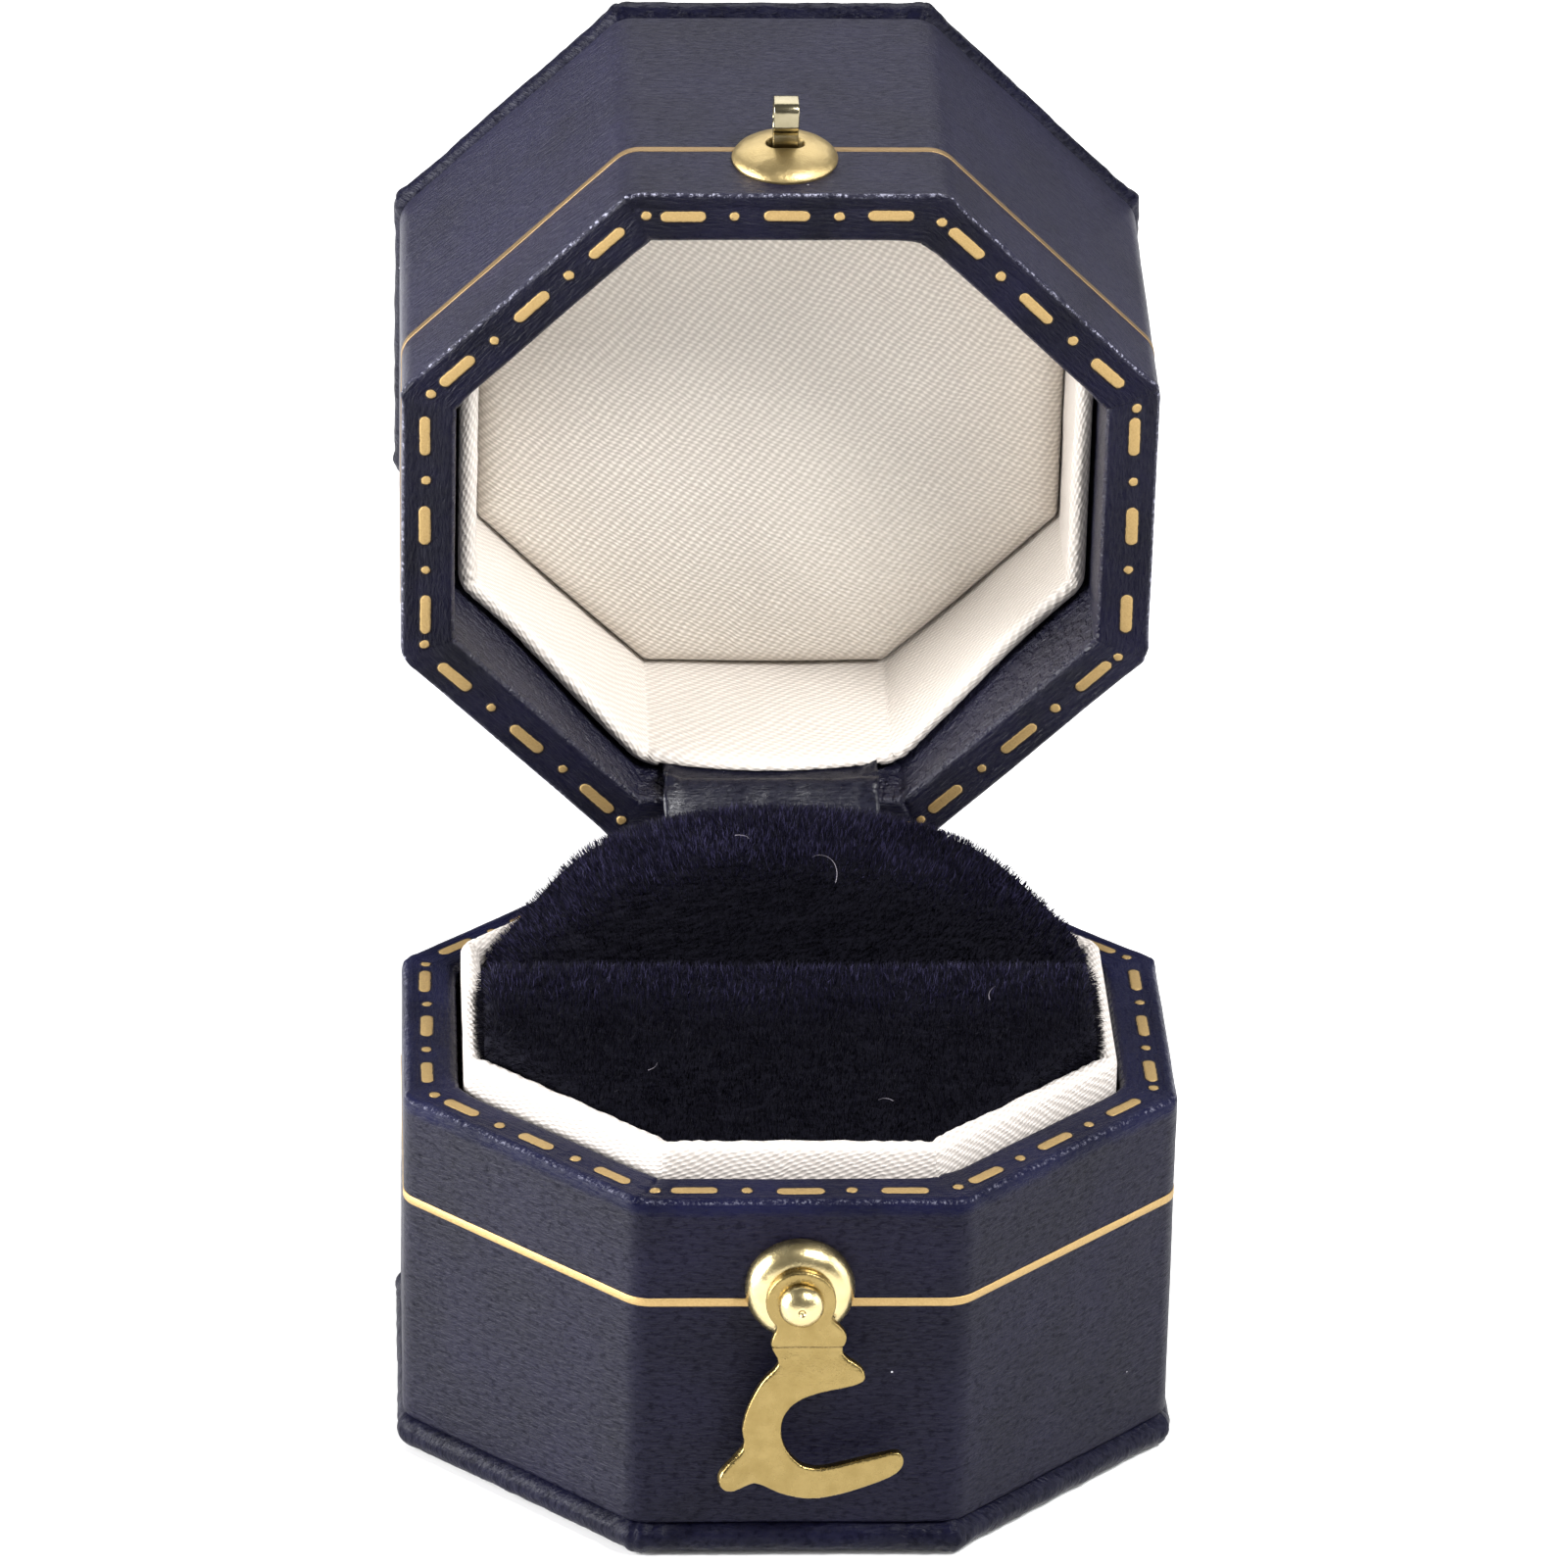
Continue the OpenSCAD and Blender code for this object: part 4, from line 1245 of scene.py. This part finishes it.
def make_clasp():
    make_base_rosette()
    make_rivet()
    make_lid_rosette()
    make_keeper()
    make_hook()


# ---------------------------------------------------------------- hinge flap
def make_flap():
    """Leather glued over the hinge, up the inside of the base wall and onto the lid's."""
    low, high = box_mm("hinge_flap")
    wide = high.x - low.x

    def opened(y, z):
        return tuple(((OPENED @ Vector((0, y * MM, z * MM))) / MM)[1:])

    leaf = 20.1
    knots = [(leaf, FLAP_LOW), (leaf, 16), (leaf, 20.0), (leaf, 23.4), (20.05, 24.75),
             opened(20.0, 24.9), opened(20.08, 26.2), opened(leaf, 29), opened(leaf, FLAP_HIGH)]
    path = []
    for i in range(len(knots) - 1):
        a, b, c, d = (Vector(knots[min(max(k, 0), len(knots) - 1)])
                      for k in (i - 1, i, i + 1, i + 2))
        for k in range(8):
            t = k / 8
            path.append(0.5 * (2 * b + (c - a) * t + (2 * a - 5 * b + 4 * c - d) * t * t
                               + (3 * b - a - 3 * c + d) * t ** 3))
    path.append(Vector(knots[-1]))
    run = [0.0]
    for a, b in zip(path, path[1:]):
        run.append(run[-1] + (b - a).length)
    columns = 56
    thick = 0.22
    vertices, faces, uvs = [], [], []
    for back in (0, 1):
        for i, p in enumerate(path):
            a, b = path[max(i - 1, 0)], path[min(i + 1, len(path) - 1)]
            d = (b - a).normalized()
            ny, nz = -d.y, d.x
            for j in range(columns + 1):
                x = -wide / 2 + wide * j / columns
                x += 0.25 * clump(0, run[i], 0, 1.6, 3 + 4 * (x > 0)) * abs(2 * x / wide) ** 6
                edge = wide / 2 - abs(x)
                pucker = math.exp(-((edge / 0.9) ** 2))
                lift = 0.5 * pucker * (0.45 + clump(x, run[i], 0, 0.6, 6))
                lift += 0.10 * clump(x, run[i], 0, 2.2, 2) + 0.03 * clump(x, run[i], 0, 0.7, 5)
                lift = max(lift, -0.02) if not back else 0.0
                gap = thick if not back else 0.0
                vertices.append((x, p.x + ny * (gap + lift), p.y + nz * (gap + lift)))
    rows, row = len(path) - 1, columns + 1
    shell = (rows + 1) * row
    faces += grid_faces(rows, columns)
    faces += [quad[::-1] for quad in grid_faces(rows, columns, shell)]
    rim = grid_rim(rows, columns)
    for k, a in enumerate(rim):
        b = rim[(k + 1) % len(rim)]
        faces.append((b, a, a + shell, b + shell))
    for f in faces:
        uvs += [(vertices[v][0], run[(v % shell) // row]) for v in f]
    piece = new_object("hinge_leather", vertices, faces, uvs=uvs)
    piece.data.materials.append(NAVY_FLAP)
    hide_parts("hinge_flap")
    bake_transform(piece)


# ---------------------------------------------------------------- lint
def make_lint(name, spots, height, body, shut_lid, colour, thick):
    """Stray hairs lying on a pad: (x, y, length, direction in degrees, curl) in millimetres."""
    vertices, faces = [], []
    for x, y, length, heading, curl in spots:
        steps = 12
        a = math.radians(heading)
        start = len(vertices)
        for k in range(steps + 1):
            size = thick * (1 - 0.8 * k / steps)
            z = height(x, y) + (0.12 if not shut_lid else -0.08)
            across = (-math.sin(a), math.cos(a))
            vertices += [(x - across[0] * size, y - across[1] * size, z),
                         (x, y, z + size), (x + across[0] * size, y + across[1] * size, z),
                         (x, y, z - size)]
            x += math.cos(a) * length / steps
            y += math.sin(a) * length / steps
            a += math.radians(curl) / steps
        for k in range(steps):
            b = start + 4 * k
            for j in range(4):
                j2 = (j + 1) % 4
                faces.append((b + j, b + j2, b + 4 + j2, b + 4 + j))
        faces += [(start + 3, start + 2, start + 1, start),
                  tuple(start + 4 * steps + j for j in range(4))]
    piece = new_object(name, vertices, faces, shut_lid)
    p = Paint(name)
    tone = p.noise(p.space(), 1.0, 2, 0.5)
    p.set(Base_Color=p.mix(tone, tuple(0.6 * c for c in colour), colour), Roughness=0.6)
    place(piece, body, p.material, None)


def make_all_lint():
    make_lint("velvet_lint", [(3.2, 4.6, 2.6, 70, 150), (12.4, -5.5, 1.6, 100, -60),
                              (-9.0, -12.0, 0.9, 20, 60), (6.0, -14.5, 1.0, 140, 80),
                              (-3.0, 8.5, 1.1, 10, -90)],
              lambda x, y: (rear_height(x, y) if y > 0 else front_height(x, y)) + NAP, "base",
              False, srgb(128, 122, 132), 0.022)
    make_lint("cushion_lint", [(4.0, 3.5, 1.3, -50, 40), (-6.5, 5.0, 1.0, 110, -70),
                               (-1.5, -3.0, 0.7, 30, 50), (9.0, -4.0, 0.8, 150, 30),
                               (-12.0, -2.0, 0.9, 60, 80), (2.5, 12.0, 0.7, 80, 20)],
              cushion_height, "lid", True, srgb(96, 80, 74), 0.016)


# ---------------------------------------------------------------- camera, light and floor
def make_camera():
    """Looks at target from a little left of the front and 25 degrees above."""
    azimuth, elevation, roll = map(math.radians, (-2.86, 25.044, 1.204))
    target, distance, lens = Vector((-0.932, -10.597, 46.169)), 613.66, 231.36
    back = Vector((math.sin(azimuth) * math.cos(elevation),
                   -math.cos(azimuth) * math.cos(elevation), math.sin(elevation)))
    right = (-back).cross(Vector((0, 0, 1))).normalized()
    up = right.cross(-back)
    x_axis = right * math.cos(roll) + up * math.sin(roll)
    y_axis = up * math.cos(roll) - right * math.sin(roll)
    data = bpy.data.cameras.new("camera")
    data.lens = lens
    data.sensor_width = 36
    data.clip_start, data.clip_end = 0.01, 20
    camera = bpy.data.objects.new("camera", data)
    turn = Matrix((x_axis, y_axis, back)).transposed().to_4x4()
    camera.matrix_world = Matrix.Translation((target + back * distance) * MM) @ turn
    SCENE.collection.objects.link(camera)
    SCENE.camera = camera


def soft_light(name, place_at, aim, width, height, power):
    data = bpy.data.lights.new(name, "AREA")
    data.shape = "RECTANGLE"
    data.size, data.size_y = width, height
    data.energy = power
    lamp = bpy.data.objects.new(name, data)
    lamp.location = place_at
    lamp.rotation_mode = "QUATERNION"
    lamp.rotation_quaternion = (Vector(aim) - Vector(place_at)).to_track_quat("-Z", "Y")
    SCENE.collection.objects.link(lamp)


def make_stage():
    p = Paint("floor_white")
    speck = p.noise(p.space(), 0.02, 2, 0.5)
    p.set(Base_Color=p.mix(speck, (0.86, 0.86, 0.86), (0.9, 0.9, 0.9)), Roughness=0.9,
          Specular_IOR_Level=0.1)
    mesh = bpy.data.meshes.new("floor")
    wide = 3.0
    mesh.from_pydata([(-wide, -wide, 0), (wide, -wide, 0), (wide, wide, 0), (-wide, wide, 0)],
                     [], [(0, 1, 2, 3)])
    mesh.materials.append(p.material)
    floor = bpy.data.objects.new("floor", mesh)
    floor.location.z = -0.0002
    SCENE.collection.objects.link(floor)
    world = bpy.data.worlds.new("studio")
    world.use_nodes = True
    world.node_tree.nodes["Background"].inputs["Color"].default_value = (1, 1, 1, 1)
    world.node_tree.nodes["Background"].inputs["Strength"].default_value = 0.22
    SCENE.world = world
    middle = (0, 0, 0.035)
    soft_light("key_box", (0.26, -0.28, 0.46), middle, 0.17, 0.17, 5.4)
    soft_light("left_box", (-0.44, -0.06, 0.14), middle, 0.36, 0.28, 7.2)
    soft_light("right_box", (0.44, -0.06, 0.16), middle, 0.36, 0.28, 1.3)
    soft_light("back_box", (0, 0.36, 0.40), middle, 0.6, 0.3, 1.9)
    SCENE.view_settings.view_transform = "Standard"


make_camera()
make_stage()
make_walls()
make_plates()
make_stamping("base_rim_stamping", RIM, 1, "base", 1.7)
make_stamping("lid_rim_stamping", LID_RIM, -1, "lid", 4.1)
make_collars()
make_ring_pad()
make_cushion()
make_clasp()
make_flap()
make_all_lint()

HIDDEN = ((STEEL, ("hinge_base_leaf", "hinge_lid_leaf", "hinge_pin")),
          (FOAM, ("pad_core",)),
          (BOARD, ("bottom_board", "base_wall_core", "lid_wall_core", "lid_top_board",
                   "pad_board", "lid_cushion_board")))
for material, nodes in HIDDEN:
    for node in nodes:
        piece = frame["nodes"][node]
        piece.data.materials.clear()
        piece.data.materials.append(material)
